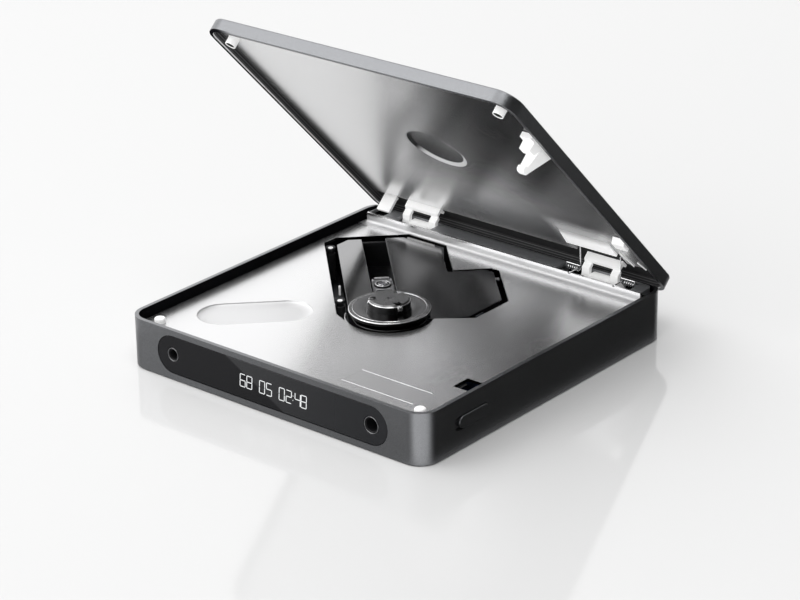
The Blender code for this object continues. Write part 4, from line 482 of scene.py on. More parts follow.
def lathe(profile, centre, finish, steps=96, axis="Z", closed=False):
    """A profile of radius and place along an axis turned about it, smooth but for sharp corners."""
    form = bmesh.new()
    rings = []
    for radius, along in profile:
        ring = []
        for step in range(steps):
            turn = math.tau * step / steps
            across, up = radius * math.cos(turn), radius * math.sin(turn)
            if axis == "Z":
                point = (centre[0] + across, centre[1] + up, along)
            else:
                point = (centre[0] + across, along, centre[1] + up)
            ring.append(form.verts.new(point))
        rings.append(ring)
    pairs = list(zip(rings, rings[1:])) + ([(rings[-1], rings[0])] if closed else [])
    for lower, upper in pairs:
        for i in range(steps):
            j = (i + 1) % steps
            form.faces.new((lower[i], lower[j], upper[j], upper[i]))
    if not closed:
        form.faces.new(rings[0])
        form.faces.new(rings[-1])
    bmesh.ops.remove_doubles(form, verts=form.verts, dist=0.001 * MM)
    bmesh.ops.recalc_face_normals(form, faces=form.faces)
    return as_mesh(form, "turned", finish, 34)


ring_depth = 0.15 * MM
for node in ("foot_front_left", "foot_front_right", "foot_rear_left", "foot_rear_right"):
    low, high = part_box(node)
    centre, radius = (low + high).xy / 2, (high.x - low.x) / 2
    pad = [(radius, high.z), (radius, ring_depth), (radius - ring_depth, 0)]
    for edge in (radius * 0.78, radius * 0.5):
        pad += [(edge, 0), (edge - 0.15 * MM, ring_depth),
                (edge - 0.35 * MM, ring_depth), (edge - 0.5 * MM, 0)]
    pad.append((0, 0))
    finish_mesh(f"{node}_pad", lathe(pad, centre, rubber, 64), "base", [node])


# Deck. A silver-painted moulding with a raised lip along its rear, a soft scoop for a
# fingertip, and a blank raised border near its front right corner.
deck_top = 15.4 * MM
spindle_y = -4.75 * MM
scoop_start = 19.8 * MM


def silvered(name):
    """The silver paint, whose main colour and roughness each moulding then varies."""
    paint = Finish(name, Metallic=0.95)
    flake = paint.noise(0.12 * MM, 2)
    cloud = paint.noise(34 * MM)
    paint.colour = paint.between(flake * 0.5 + cloud * 0.5, (0.6, 0.6, 0.605), (0.68, 0.68, 0.685))
    paint.rough = paint.range(cloud * 0.6 + flake * 0.4, 0.22, 0.3)
    paint.fill(paint.shader, {"Base Color": paint.colour, "Roughness": paint.rough})
    paint.relief(flake, 0.004 * MM)
    return paint


def towards_scoop(across, rearward):
    """How far a place is from the spindle in the slanted direction that the scoop lies in."""
    return (across + rearward - spindle_y) * -math.sqrt(0.5)


silver = silvered("silver_moulding")
deck_paint = silvered("deck_paint")
where = deck_paint.spot()
across, rearward, height = [deck_paint.axis(where, name) for name in "XYZ"]
# Painted shade and light: darker towards the right end, near black below the top face in the openings, the
# scoop painted lighter and less metallic, the lip's top kept light.
low = deck_paint.step(height, deck_top - 0.06 * MM, deck_top - 0.2 * MM)
scoop = low * deck_paint.step(towards_scoop(across, rearward), scoop_start - 0.6 * MM, scoop_start)
lip_foot = deck_paint.step(rearward, 53.5 * MM, 56.0 * MM) * deck_paint.step(
    height, 18.4 * MM, 17.4 * MM)
lip_edge = deck_paint.step(height, 18.7 * MM, 18.85 * MM)
right_painted_shade = deck_paint.step(across - rearward * 0.5, 20 * MM, 75 * MM)
colour = deck_paint.between(right_painted_shade, deck_paint.colour, (0.5, 0.5, 0.505))
colour = deck_paint.between(low * (1 - scoop), colour, (0.006, 0.006, 0.006))
colour = deck_paint.between(scoop.larger(lip_edge), colour, (0.66, 0.66, 0.665))
deck_paint.fill(deck_paint.shader, {
    "Base Color": colour, "Metallic": deck_paint.range(scoop, 0.95, 0.6),
    "Roughness": deck_paint.rough + scoop * 0.25 + lip_foot * 0.3})


def shallower(place):
    """The scoop at half its depth: it reads as a soft dip, with both its long edges in view."""
    if towards_scoop(place.x, place.y) > scoop_start and place.z < deck_top - 0.03 * MM:
        return Vector((place.x, place.y, deck_top - (deck_top - place.z) * 0.5))
    return place


dress("deck", deck_paint, "base", 0.15 * MM, reshape=shallower)

border_left, border_right = 21.9 * MM, 53.0 * MM
border_front, border_rear = -55.85 * MM, -45.25 * MM
border_rise = 0.06 * MM
border = bmesh.new()
rings = []
for inset, rise in ((0, 0), (0.1 * MM, border_rise), (0.36 * MM, border_rise), (0.46 * MM, 0)):
    left, right = border_left + inset, border_right - inset
    low, high = border_front + inset, border_rear - inset
    rings.append([border.verts.new((x, y, deck_top + rise)) for x, y in (
        (left, low), (right, low), (right, high), (left, high))])
for inner, outer in zip(rings, rings[1:]):
    for i in range(4):
        border.faces.new((inner[i], inner[(i + 1) % 4], outer[(i + 1) % 4], outer[i]))
bmesh.ops.recalc_face_normals(border, faces=border.faces)
finish_mesh("deck_border", as_mesh(border, "border", silver), "base")


# Deck pads. Two white moulded buttons with rounded tops, pressed into holes near the deck's
# front corners. The lid's posts land on them.
# The white mouldings carry a faint white emission: painted light that lifts them.
white_moulding = Finish(
    "white_moulding", Subsurface_Weight=0.05, Subsurface_Radius=(0.5 * MM,) * 3,
    Emission_Color=(1, 1, 1), Emission_Strength=0.19)
mould = white_moulding.noise(0.25 * MM, 3)
shade = white_moulding.noise(6 * MM)
white_moulding.fill(white_moulding.shader, {
    "Base Color": white_moulding.between(shade, (0.82, 0.82, 0.815), (0.87, 0.87, 0.865)),
    "Roughness": white_moulding.range(mould, 0.32, 0.46)})
white_moulding.relief(mould, 0.01 * MM)

crown_round, crown_steps, crown_seat = 0.7 * MM, 6, deck_top + 0.05 * MM
for node in ("deck_pad_left", "deck_pad_right"):
    low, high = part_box(node)
    centre, wide = (low + high).xy / 2, (high.x - low.x) / 2
    crown = [(wide / 2, low.z), (wide / 2, crown_seat), (wide, crown_seat)]
    for step in range(crown_steps + 1):
        turn = math.pi / 2 * step / crown_steps
        crown.append((wide - crown_round * (1 - math.cos(turn)), high.z - crown_round * (1 - math.sin(turn))))
    crown.append((0, high.z))
    button = lathe(crown, centre, white_moulding, 48)
    finish_mesh(f"{node}_button", button, "base", [node])


# Window. A dark polished strip of glass let into the front wall, with the display's plain
# digits glowing through it between the two sockets. A slanted line parts it in two tones: a
# painted reflection, lighter and coated right of the line, the coat fading towards the right end.
gleam_x, gleam_z, gleam_turn = -20.33 * MM, 17.24 * MM, math.radians(62)
glass = Finish("window_glass", IOR=1.5, Specular_IOR_Level=0.22, Coat_Roughness=0.03)
smear = glass.noise(11 * MM, 3)
where = glass.spot()
across, height = glass.axis(where, "X"), glass.axis(where, "Z")
# Painted reflection: right of the slanted line the glass is lighter and coated, the coat fading to the right.
past = (across - gleam_x) * math.cos(gleam_turn) + (height - gleam_z) * math.sin(gleam_turn)
reflection_side = glass.step(past, -0.3 * MM, 0.3 * MM)
glass.fill(glass.shader, {
    "Base Color": glass.between(
        reflection_side * (smear * 0.2 + 0.8), (0.006, 0.006, 0.007), (0.013, 0.0135, 0.015)),
    "Coat Weight": reflection_side * glass.range(glass.step(across, 55 * MM, -18 * MM), 0.05, 0.6),
    "Roughness": glass.range(smear, 0.03, 0.07)})
window_sink = 0.06 * MM
dress("display_window", glass, "base", 0.12 * MM, shift=(0, window_sink, 0))
window_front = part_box("display_window")[0].y + window_sink

glow = Finish("display_glow", Base_Color=(0.02, 0.02, 0.02), Emission_Strength=1.0)
flicker = glow.noise(1.2 * MM)
glow.fill(glow.shader, {"Emission Color": glow.between(flicker, (0.86, 0.9, 0.92), (1, 1, 1)),
                        "Roughness": glow.range(flicker, 0.2, 0.3)})
digit_height, digit_width, stroke, slant = 4.6 * MM, 2.35 * MM, 0.3 * MM, 0.07
digit_foot, colon_x, colon_dot = 7.35 * MM, 10.55 * MM, stroke * 0.8
lit_segments = {
    "0": "abcdef", "2": "abged", "4": "fgbc", "5": "afgcd", "6": "afgedc", "8": "abcdefg"}
digit_places = (("6", -13.4), ("8", -10.35), ("0", -4.55), ("5", -1.4), ("0", 4.35), ("2", 7.5),
                ("4", 11.45), ("8", 14.15))
segment_ends = {
    "a": ((0, 2), (1, 2)), "b": ((1, 2), (1, 1)), "c": ((1, 1), (1, 0)), "d": ((1, 0), (0, 0)),
    "e": ((0, 0), (0, 1)), "f": ((0, 1), (0, 2)), "g": ((0, 1), (1, 1))}
digits = bmesh.new()


def bar_of_light(start, end):
    """One lit bar with pointed ends, just proud of the glass."""
    start, end = Vector(start), Vector(end)
    along = (end - start).normalized()
    side = Vector((-along.y, along.x)) * stroke / 2
    nib, gap = along * stroke / 2, along * stroke * 0.12
    a, b = start + gap, end - gap
    outline = (a, a + nib + side, b - nib + side, b, b - nib - side, a + nib - side)
    front, back = [
        [digits.verts.new((p.x + (p.y - digit_foot) * slant, window_front - proud, p.y)) for p in outline]
        for proud in (0.03 * MM, -0.02 * MM)]
    digits.faces.new(front)
    digits.faces.new(back)
    for i in range(len(front)):
        j = (i + 1) % len(front)
        digits.faces.new((front[i], front[j], back[j], back[i]))


for figure, left in digit_places:
    for segment in lit_segments[figure]:
        bar_of_light(*[(left * MM + across * digit_width, digit_foot + up * digit_height / 2)
                       for across, up in segment_ends[segment]])
for up in (1.5 * MM, 3.1 * MM):
    middle = digit_foot + up
    bar_of_light((colon_x, middle - colon_dot), (colon_x, middle + colon_dot))
bmesh.ops.recalc_face_normals(digits, faces=digits.faces)
finish_mesh("display_digits", as_mesh(digits, "digits", glow), "base")


# Sockets. Two round plug sockets in the window and a line output at the rear, each a dark
# barrel inside a thin turned ring.
black = Finish("black_moulding", Specular_IOR_Level=0.2)
black.vary(black.noise(0.3 * MM, 3), ((0.006, 0.006, 0.007), (0.014, 0.014, 0.015)),
           (0.4, 0.6), 0.01 * MM)
dull_steel = Finish("dull_steel", Metallic=1.0)
dull_steel.vary(dull_steel.noise(0.4 * MM, 3), ((0.3, 0.3, 0.31), (0.4, 0.4, 0.41)), (0.3, 0.45))

sockets = (("jack_small", 2.45, window_front, 1), ("jack_large", 3.05, window_front, 1),
           ("line_out", 2.6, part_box("line_out")[1].y, -1))
for node, ring, face, inward in sockets:
    low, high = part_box(node)
    middle = Vector(((low.x + high.x) / 2, (low.z + high.z) / 2))
    inner, bore = ring - 0.22, ring - 0.7
    rim = [(ring, 1.6), (ring, 0.1), (ring - 0.05, 0.03), (ring - 0.17, 0.03), (inner, 0.1), (inner, 1.6)]
    barrel = [(inner, 8.6), (inner, 0.3), (bore + 0.15, 0.3), (bore, 0.5), (bore, 8), (0, 8)]
    rim, barrel = [[(radius * MM, face + inward * depth * MM) for radius, depth in profile]
                   for profile in (rim, barrel)]
    rim = lathe(rim, middle, dull_steel, 64, "Y", closed=True)
    finish_mesh(f"{node}_ring", rim, "base")
    barrel = lathe(barrel, middle, black, 64, "Y")
    finish_mesh(f"{node}_barrel", barrel, "base", [node])


# Charging socket. A folded steel shell let into the rear wall, with a black tongue inside that
# carries a row of plated contacts.
def rounded_blocks(name, blocks, finish, edge=0.1 * MM):
    """Small blocks with their edges taken off, as one mesh: each a middle, a size and a turn."""
    form = bmesh.new()
    for block in blocks:
        add_block(form, *block)
    bmesh.ops.bevel(form, geom=form.edges, offset=edge, segments=2, affect="EDGES")
    return as_mesh(form, name, finish)


dress("usb_socket", steel, "base", 0.06 * MM)
low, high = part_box("usb_socket")
socket_x, socket_z = (low.x + high.x) / 2, (low.z + high.z) / 2
tongue = (socket_x, high.y - 4.4 * MM, socket_z), (6.6 * MM, 6.8 * MM, 0.7 * MM)
tongue = rounded_blocks("tongue", [tongue], black, 0.12 * MM)
finish_mesh("usb_tongue", tongue, "base")

contact_count, contact_pitch = 12, 0.5 * MM
contacts = Tree("usb_contacts", steel, Count=contact_count, Pitch=contact_pitch, Width=0.26 * MM)
line = contacts.node(
    "GeometryNodeMeshLine", Count=contacts.given("Count"),
    Offset=contacts.node("ShaderNodeCombineXYZ", X=contacts.given("Pitch")))
blade = contacts.node("GeometryNodeMeshCube", Size=contacts.node(
    "ShaderNodeCombineXYZ", X=contacts.given("Width"), Y=4.6 * MM, Z=0.76 * MM))
row = contacts.node("GeometryNodeInstanceOnPoints", Points=line, Instance=blade)
row = contacts.node("GeometryNodeRealizeInstances", Geometry=row)
row_start = (socket_x - (contact_count - 1) * contact_pitch / 2, high.y - 4.0 * MM, socket_z)
row = contacts.node("GeometryNodeTransform", Geometry=row, Translation=row_start)
row = contacts.make("usb_contacts", row, bpy.data.meshes.new("none"))
finish_mesh("usb_contacts", row, "base")


# Hinge shelf. A bent metal strip behind the deck's lip, in a paler and softer grey than the
# shells, with windows for the hinge arms, the springs and the lid's tab.
shelf_metal = anodised("shelf_metal", tones=(0.22, 0.3))
shelf_metal.fill(shelf_metal.shader, {"Metallic": 0.5})
dress("hinge_shelf", shelf_metal, "base", 0.1 * MM)


# Hinge brackets and pins. White moulded blocks that stand between the lid arms' legs, each
# with a steel pin through its eye.
for side in ("left", "right"):
    dress(f"hinge_bracket_{side}", white_moulding, "base", 0.12 * MM)
    dress(f"hinge_pin_{side}", steel, "base", 0.08 * MM)


# Hinge springs. Two springs of round steel wire beside the right hinge. Each starts in the
# deck's lip, winds over its peg, comes back over the coil and leans up against the lid.
wire_radius, coil_radius, coil_pitch, coil_turns = 0.24 * MM, 0.8 * MM, 0.92 * MM, 6
coil_y, coil_z, turn_points = 63.45 * MM, 18.2 * MM, 32
hinge_line = Vector((0, 63.95, 14.1)) * MM
lid_lean = math.radians(46)
spring_wire = Finish("spring_wire", Metallic=1.0)
spring_wire.vary(spring_wire.noise(0.6 * MM, 2), ((0.8, 0.8, 0.81), (0.9, 0.9, 0.91)), (0.12, 0.2))


def on_open_lid(y, z):
    """A place of the shut lid, where it is when the lid stands open."""
    c, s = math.cos(lid_lean), math.sin(lid_lean)
    y, z = y - hinge_line.y, z - hinge_line.z
    return hinge_line.y + c * y + s * z, hinge_line.z - s * y + c * z


for name, away, start in (("inner", -1, 32.0 * MM), ("outer", 1, 51.6 * MM)):
    route = [Vector((start, 57.5 * MM, coil_z + coil_radius)),
             Vector((start, coil_y - coil_radius * 1.2, coil_z + coil_radius))]
    for step in range(coil_turns * turn_points - turn_points // 4 + 1):
        turn = math.tau * step / turn_points
        along = start + away * coil_pitch * step / turn_points
        route.append(Vector((
            along, coil_y + coil_radius * math.sin(turn), coil_z + coil_radius * math.cos(turn))))
    back = route[-1] + Vector((0, 0, 1.75 * MM))
    leg_x = start - away * 0.95 * MM
    leg_foot, leg_tip = (leg_x, back.y, back.z), (leg_x, *on_open_lid(52.85 * MM, 22.65 * MM))
    route += [back, leg_foot, leg_tip]
    curve = bpy.data.curves.new(f"route_{name}", "CURVE")
    curve.dimensions = "3D"
    spline = curve.splines.new("POLY")
    spline.points.add(len(route) - 1)
    for place, point in zip(spline.points, route):
        place.co = (*point, 1)
    winding = Tree(f"spring_{name}", spring_wire, Wire=wire_radius, Sides=12, Bend=0.35 * MM)
    rounded = winding.node(
        "GeometryNodeFilletCurve", {"mode": "POLY"}, Curve=winding.given("Geometry"),
        Radius=winding.given("Bend"), Limit_Radius=True, Count=5)
    section = winding.node(
        "GeometryNodeCurvePrimitiveCircle", Resolution=winding.given("Sides"),
        Radius=winding.given("Wire"))
    tube = winding.node(
        "GeometryNodeCurveToMesh", Curve=rounded, Profile_Curve=section, Fill_Caps=True)
    smooth = winding.node("GeometryNodeSetShadeSmooth", Geometry=tube)
    piece = add_object(f"spring_{name}", winding.make(f"spring_{name}", smooth, curve))
    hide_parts(f"hinge_spring_{name}")
    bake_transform(piece)


# Drive plate. A sheet of polished dark steel over the disc drive, split by the pickup's
# track, with fine polishing lines along its length. It is painted darker towards the right, a
# painted reflection.
plate = Finish("dark_plate", Metallic=1.0)
lines = plate.noise(0.25 * MM, 3, plate.spot(turn=(0, 0, math.radians(45)), scale=(1, 0.04, 1)))
dull = plate.noise(18 * MM)
# Painted reflection: the plate goes dark right of its left part.
reflection_fade = plate.step(plate.axis(plate.spot(), "X"), -48 * MM, -20 * MM) * (0.9 + lines * 0.1)
colour = plate.between(lines * 0.4 + dull * 0.6, (0.22, 0.22, 0.224), (0.27, 0.27, 0.274))
plate.fill(plate.shader, {
    "Base Color": plate.between(reflection_fade, colour, (0.06, 0.06, 0.061)),
    "Roughness": plate.range(dull * 0.5 + lines * 0.5, 0.12, 0.18)})
plate.relief(lines, 0.001 * MM)
dress("drive_plate", plate, "base", 0.2 * MM)


# Drive chassis and its soft mounts. A black moulded frame that carries the drive, held off the
# base by two waisted rubber dampers with white caps. A short white stay shows in the gap beside
# it.
run_turn = math.radians(135)


def in_track(u, v):
    """A place along and across the pickup's slanted run, as x and y."""
    return (u * math.cos(run_turn) + v * math.sin(run_turn),
            spindle_y + u * math.sin(run_turn) - v * math.cos(run_turn))


def track_blocks(name, blocks, finish):
    """Small bars set square to the run, by their ends along, across and in height in mm."""
    turn = Matrix.Rotation(run_turn, 4, "Z")
    placed = []
    for *ends, low, high in blocks:
        u_low, u_high, v_low, v_high = [end * MM for end in ends]
        x, y = in_track((u_low + u_high) / 2, (v_low + v_high) / 2)
        size = (u_high - u_low, v_high - v_low, (high - low) * MM)
        placed.append(((x, y, (low + high) / 2 * MM), size, turn))
    return rounded_blocks(name, placed, finish)


def in_mm(profile):
    """A profile drawn in millimetres, in metres."""
    return [(radius * MM, along * MM) for radius, along in profile]


dress("drive_chassis", black, "base", 0.1 * MM)
cap_profile = in_mm([(0.95, 14.3), (0.95, 14.5), (0.85, 14.6), (0.35, 14.6), (0.3, 14.5), (0, 14.5)])
cap_offset = 0.7 * MM
for node in ("drive_damper_front", "drive_damper_rear"):
    dress(node, rubber, "base", 0.15 * MM)
    low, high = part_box(node)
    centre = ((low.x + high.x) / 2 + cap_offset, (low.y + high.y) / 2 - cap_offset)
    cap = lathe(cap_profile, centre, white_moulding, 32)
    finish_mesh(f"{node}_cap", cap, "base")
stay = track_blocks("chassis_stay", [(32.1, 33.0, -15.7, -15.0, 9.6, 13.2)], white_moulding)
finish_mesh("chassis_stay", stay, "base")


# Chassis hardware. A polished collar that follows the deck's opening round the turntable, two
# spring clips, at the plate's right and in the latch slot, and a washer, all of bright steel.
collar_inner, collar_outer, collar_low, collar_high = 15.5 * MM, 15.95 * MM, 13.2 * MM, 15.05 * MM
collar_start, collar_end = math.radians(-150), math.radians(-84)
collar_round, collar_steps = 0.08 * MM, 40
collar_section = (
    (collar_outer, collar_low), (collar_outer, collar_high - collar_round),
    (collar_outer - collar_round, collar_high), (collar_inner + collar_round, collar_high),
    (collar_inner, collar_high - collar_round), (collar_inner, collar_low))
collar = bmesh.new()
rows = []
for step in range(collar_steps + 1):
    turn = collar_start + (collar_end - collar_start) * step / collar_steps
    rows.append([collar.verts.new((r * math.cos(turn), spindle_y + r * math.sin(turn), z))
                 for r, z in collar_section])
for near, far in zip(rows, rows[1:]):
    for i in range(6):
        collar.faces.new((near[i], near[(i + 1) % 6], far[(i + 1) % 6], far[i]))
collar.faces.new(rows[0])
collar.faces.new(rows[-1])
bmesh.ops.recalc_face_normals(collar, faces=collar.faces)
collar = as_mesh(collar, "plate_collar", steel, 40)
finish_mesh("plate_collar", collar, "base")

clips = [[[side * MM for side in sides] for sides in clip] for clip in (
    ((23.05, 16.65, 14.1), (0.5, 4.2, 0.5)), ((55.0, -32.8, 13.9), (0.9, 4.2, 0.5)))]
finish_mesh("spring_clips", rounded_blocks("spring_clips", clips, steel), "base")

washer = in_mm([(0.5, 12.9), (0.5, 13.5), (0.58, 13.58), (0.86, 13.58), (0.94, 13.5), (0.94, 12.9)])
washer = lathe(washer, (7.4 * MM, 47.0 * MM), steel, 32, closed=True)
finish_mesh("chassis_washer", washer, "base")


# Turntable. A turned metal dish with a painted highlight on its rounded outer edge and its
# parts below the top painted near black as shade, a glossy dark mat let into its top inside a
# fine bright bead, and the hub with its three sprung jaws pressed onto the shaft.
platter = Finish("turntable_metal", Metallic=1.0)
from_axis = platter.spot(shift=(0, -spindle_y, 0))
rings_about_axis = {"wave_type": "RINGS", "rings_direction": "Z"}
grooves = platter.node(
    "TexWave", rings_about_axis, Vector=from_axis, Scale=900.0, Distortion=0.4, Detail=1.0)
mix = platter.noise(5 * MM) * 0.5 + grooves * 0.5
# Painted highlight on the dish's rounded outer edge, and painted shade below its top.
edge_highlight = platter.step(platter.off_axis(from_axis), 14.3 * MM, 14.4 * MM)
upper = platter.step(platter.axis(from_axis, "Z"), 17.9 * MM, 18.0 * MM)
colour = platter.between(mix, (0.17, 0.17, 0.172), (0.23, 0.23, 0.232))
colour = platter.between(edge_highlight, colour, (0.72, 0.72, 0.725))
platter.fill(platter.shader, {
    "Base Color": platter.between(upper, (0.008, 0.008, 0.008), colour),
    "Roughness": platter.range(mix, 0.2, 0.3)})
platter.relief(grooves, 0.002 * MM)

mat_finish = Finish("mat_rubber", Metallic=1.0)
fine = mat_finish.node(
    "TexWave", rings_about_axis, Vector=mat_finish.spot(shift=(0, -spindle_y, 0)),
    Scale=500.0, Distortion=0.3)
dust = mat_finish.noise(2 * MM, 4)
mat_finish.fill(mat_finish.shader, {
    "Base Color": mat_finish.between(dust, (0.15, 0.15, 0.153), (0.2, 0.2, 0.203)),
    "Roughness": mat_finish.range(fine * 0.5 + dust * 0.5, 0.08, 0.14)})
mat_finish.relief(fine, 0.001 * MM)

dish = in_mm([
    (6.5, 15.0), (6.5, 16.8), (14.3, 16.8), (14.6, 17.05), (14.6, 17.9), (14.56, 18.05),
    (14.47, 18.18), (14.34, 18.27), (14.2, 18.3), (13.3, 18.3), (13.3, 17.6), (7.0, 17.6),
    (7.0, 18.0), (1.3, 18.0), (1.3, 15.0)])
dish = lathe(dish, (0, spindle_y), platter, 160, closed=True)
finish_mesh("turntable_dish", dish, "turntable", ["turntable"])
bead = in_mm([
    (12.98, 18.1), (12.98, 18.36), (13.04, 18.42), (13.12, 18.42), (13.18, 18.36), (13.18, 18.1)])
bead = lathe(bead, (0, spindle_y), spring_wire, 160, closed=True)
finish_mesh("turntable_bead", bead, "turntable")
mat = in_mm([(7.3, 17.9), (7.3, 18.34), (7.35, 18.36), (12.9, 18.36), (12.98, 18.3), (12.98, 17.9)])
mat = lathe(mat, (0, spindle_y), mat_finish, 160, closed=True)
finish_mesh("turntable_mat_ring", mat, "turntable", ["turntable_mat"])

hub_metal = Finish("hub_metal", Metallic=1.0)
from_axis = hub_metal.spot(shift=(0, -spindle_y, 0))
height = hub_metal.axis(from_axis, "Z")
turned_lines = hub_metal.noise(0.3 * MM, 3, hub_metal.spot(scale=(1, 1, 12)))
chamfer = hub_metal.step(height, 20.95 * MM, 21.05 * MM)
top_face = chamfer * hub_metal.step(hub_metal.off_axis(from_axis), 0.95 * MM, 1.1 * MM)
# A thin painted highlight along the lower edge of the hub's chamfer.
chamfer_highlight = chamfer * hub_metal.step(height, 21.22 * MM, 21.12 * MM)
colour = hub_metal.between(turned_lines, (0.04, 0.04, 0.041), (0.06, 0.06, 0.061))
colour = hub_metal.between(
    top_face, colour, hub_metal.between(turned_lines, (0.13, 0.13, 0.132), (0.18, 0.18, 0.182)))
hub_metal.fill(hub_metal.shader, {
    "Base Color": hub_metal.between(chamfer_highlight, colour, (0.75, 0.75, 0.755)),
    "Roughness": hub_metal.range(turned_lines, 0.22, 0.32)})
dress("disc_hub", hub_metal, "turntable", 0.12 * MM)
dress("spindle_shaft", steel, "turntable", 0.1 * MM)
for index in (1, 2, 3):
    dress(f"hub_jaw_{index}", spring_wire, f"hub_jaw_{index}", 0.1 * MM)


# Pickup. A grey moulded sled that runs in the track, with the lens holder floating in its
# neck. A light metal yoke frames the holder, and the lens sits in a bright ring.
grey = Finish("grey_moulding")
grey.vary(grey.noise(0.3 * MM, 3), ((0.11, 0.11, 0.115), (0.16, 0.16, 0.165)),
          (0.4, 0.55), 0.01 * MM)
dress("pickup_sled", grey, "sled", 0.1 * MM)
dress("lens_holder", black, "lens", 0.08 * MM)
yoke = [(33.9, 35.3, -2.6, 2.8, 14.1, 14.75), (31.6, 34.0, -3.5, -3.1, 14.1, 14.75),
        (31.6, 34.0, 3.1, 3.5, 14.1, 14.75), (23.5, 24.3, -2.6, 2.8, 14.1, 14.7)]
finish_mesh("pickup_yoke", track_blocks("pickup_yoke", yoke, steel), "sled")

coated = Finish("lens_glass", Coat_Weight=1.0, Coat_Roughness=0.02, IOR=1.6)
coated.vary(coated.noise(0.8 * MM), ((0.012, 0.01, 0.02), (0.03, 0.026, 0.05)), (0.02, 0.06))
lens_place = in_track(28.8 * MM, 0)
dome_radius, dome_foot, dome_rise, dome_steps = 1.4, 14.6, 0.3, 8
dome = [(dome_radius + 0.05, dome_foot - 0.1)]
for step in range(dome_steps + 1):
    turn = math.pi / 2 * step / dome_steps
    dome.append((dome_radius * math.cos(turn), dome_foot + dome_rise * math.sin(turn)))
dome = lathe(in_mm(dome), lens_place, coated, 48)
finish_mesh("pickup_lens_dome", dome, "lens", ["pickup_lens"])
for name, inner, outer in (("lens_bezel", 2.42, 2.76), ("lens_ring", 1.5, 1.68)):
    ring = in_mm([(inner, 14.7), (inner, 14.98), (inner + 0.06, 15.03),
                  (outer - 0.06, 15.03), (outer, 14.96), (outer, 14.7)])
    ring = lathe(ring, lens_place, spring_wire, 64, closed=True)
    finish_mesh(name, ring, "lens")


# Lid shell. The same dark anodised aluminium as the base, a shallow tray on the hinge arms.
# Its inner walls are painted dull dark grey as painted shade, with fine milling grooves painted
# lighter. Its lower rim is painted black at the left as painted shade, and a thin painted
# highlight runs along the inner walls' lower edge.
to_shut = Matrix.Rotation(lid_lean, 3, "X")
lid_shut = {"turn": (lid_lean, 0, 0), "shift": hinge_line - to_shut @ hinge_line}
lid_metal = anodised("lid_metal")
where = lid_metal.spot(**lid_shut)
across, height = lid_metal.axis(where, "X"), lid_metal.axis(where, "Z")
left_rim_shade = lid_metal.step(height, 20.0 * MM, 19.9 * MM) * lid_metal.step(across, -52 * MM, -60 * MM)
wall = inner_wall(lid_metal, where) * lid_metal.step(height, 23.3 * MM, 23.2 * MM)
grooves = lid_metal.node("TexWave", {"bands_direction": "Z"}, Vector=where, Scale=330.0)
# Painted shade and highlight: the rim's left underside near black, the inner walls dull dark grey with
# lighter milling lines, a bright line at their foot.
lid_metal.cover(left_rim_shade, painted_shade_black)
lid_metal.cover(wall, (0.04, 0.04, 0.041))
lid_metal.cover(wall * lid_metal.step(grooves, 0.75, 0.95), (0.13, 0.13, 0.132))
lid_metal.cover(wall * lid_metal.step(height, 20.0 * MM, 19.95 * MM), (0.8, 0.8, 0.81))
dress("lid_shell", lid_metal, "lid", 0.15 * MM)


# Lid liner. A silver-painted moulding that closes the lid's inside, with a dished recess over
# the hub, a low hood over the spring ends and two thin ribs by the stop. It is painted lighter
# at the left and darker towards the right, and the hood's front and a patch beside it are
# painted white with a faint glow: painted light.
def shut_place(place):
    """Where a place of the open lid goes when the lid is shut."""
    return to_shut @ (place - hinge_line) + hinge_line


def open_place(place):
    """Where a place of the shut lid goes when the lid stands open."""
    return to_shut.transposed() @ (place - hinge_line) + hinge_line


def stand_open(mesh):
    """Takes a mesh drawn for the shut lid to where the open lid carries it."""
    for corner in mesh.vertices:
        corner.co = open_place(corner.co)
    return mesh


liner_paint = silvered("liner_paint")
where = liner_paint.spot(**lid_shut)
across, rearward, under_lid = [liner_paint.axis(where, name) for name in "XYZ"]
hood = liner_paint.step(under_lid, 22.0 * MM, 21.3 * MM)
painted_hood_light = liner_paint.step(rearward, 29 * MM, 39 * MM) * liner_paint.step(across, 24 * MM, 32 * MM)
painted_hood_light = painted_hood_light * liner_paint.step(across, 62 * MM, 50 * MM)
# Painted light: lighter at the left, darker to the right, the hood and a patch beside it white and faintly
# glowing.
left_painted_light = liner_paint.between(0.3, liner_paint.colour, (1, 1, 1))
colour = liner_paint.between(
    liner_paint.step(across, -6 * MM, 50 * MM), left_painted_light, (0.12, 0.12, 0.122))
colour = liner_paint.between(painted_hood_light, colour, (0.85, 0.85, 0.855))
liner_paint.fill(liner_paint.shader, {
    "Base Color": liner_paint.between(hood, colour, (0.93, 0.93, 0.93)),
    "Metallic": liner_paint.range(hood.larger(painted_hood_light * 0.6), 0.95, 0.1),
    "Emission Strength": 1.0,
    "Emission Color": liner_paint.between(hood.larger(painted_hood_light * 0.15), (0, 0, 0), (0.3, 0.3, 0.3)),
    "Roughness": liner_paint.rough + hood * 0.2})
recess_room = 0.25 * MM


def deeper_recess(place):
    """Room for the dished recess set in below: the CAD one and the back behind it move up."""
    p = shut_place(place)
    if p.z > 22.5 * MM:
        p.z += recess_room
    return open_place(p)


dress("lid_liner", liner_paint, "lid", 0.1 * MM, reshape=deeper_recess)

recess_paint = silvered("recess_paint")
from_hub = recess_paint.spot(
    turn=lid_shut["turn"], shift=lid_shut["shift"] - Vector((0, spindle_y, 0)))
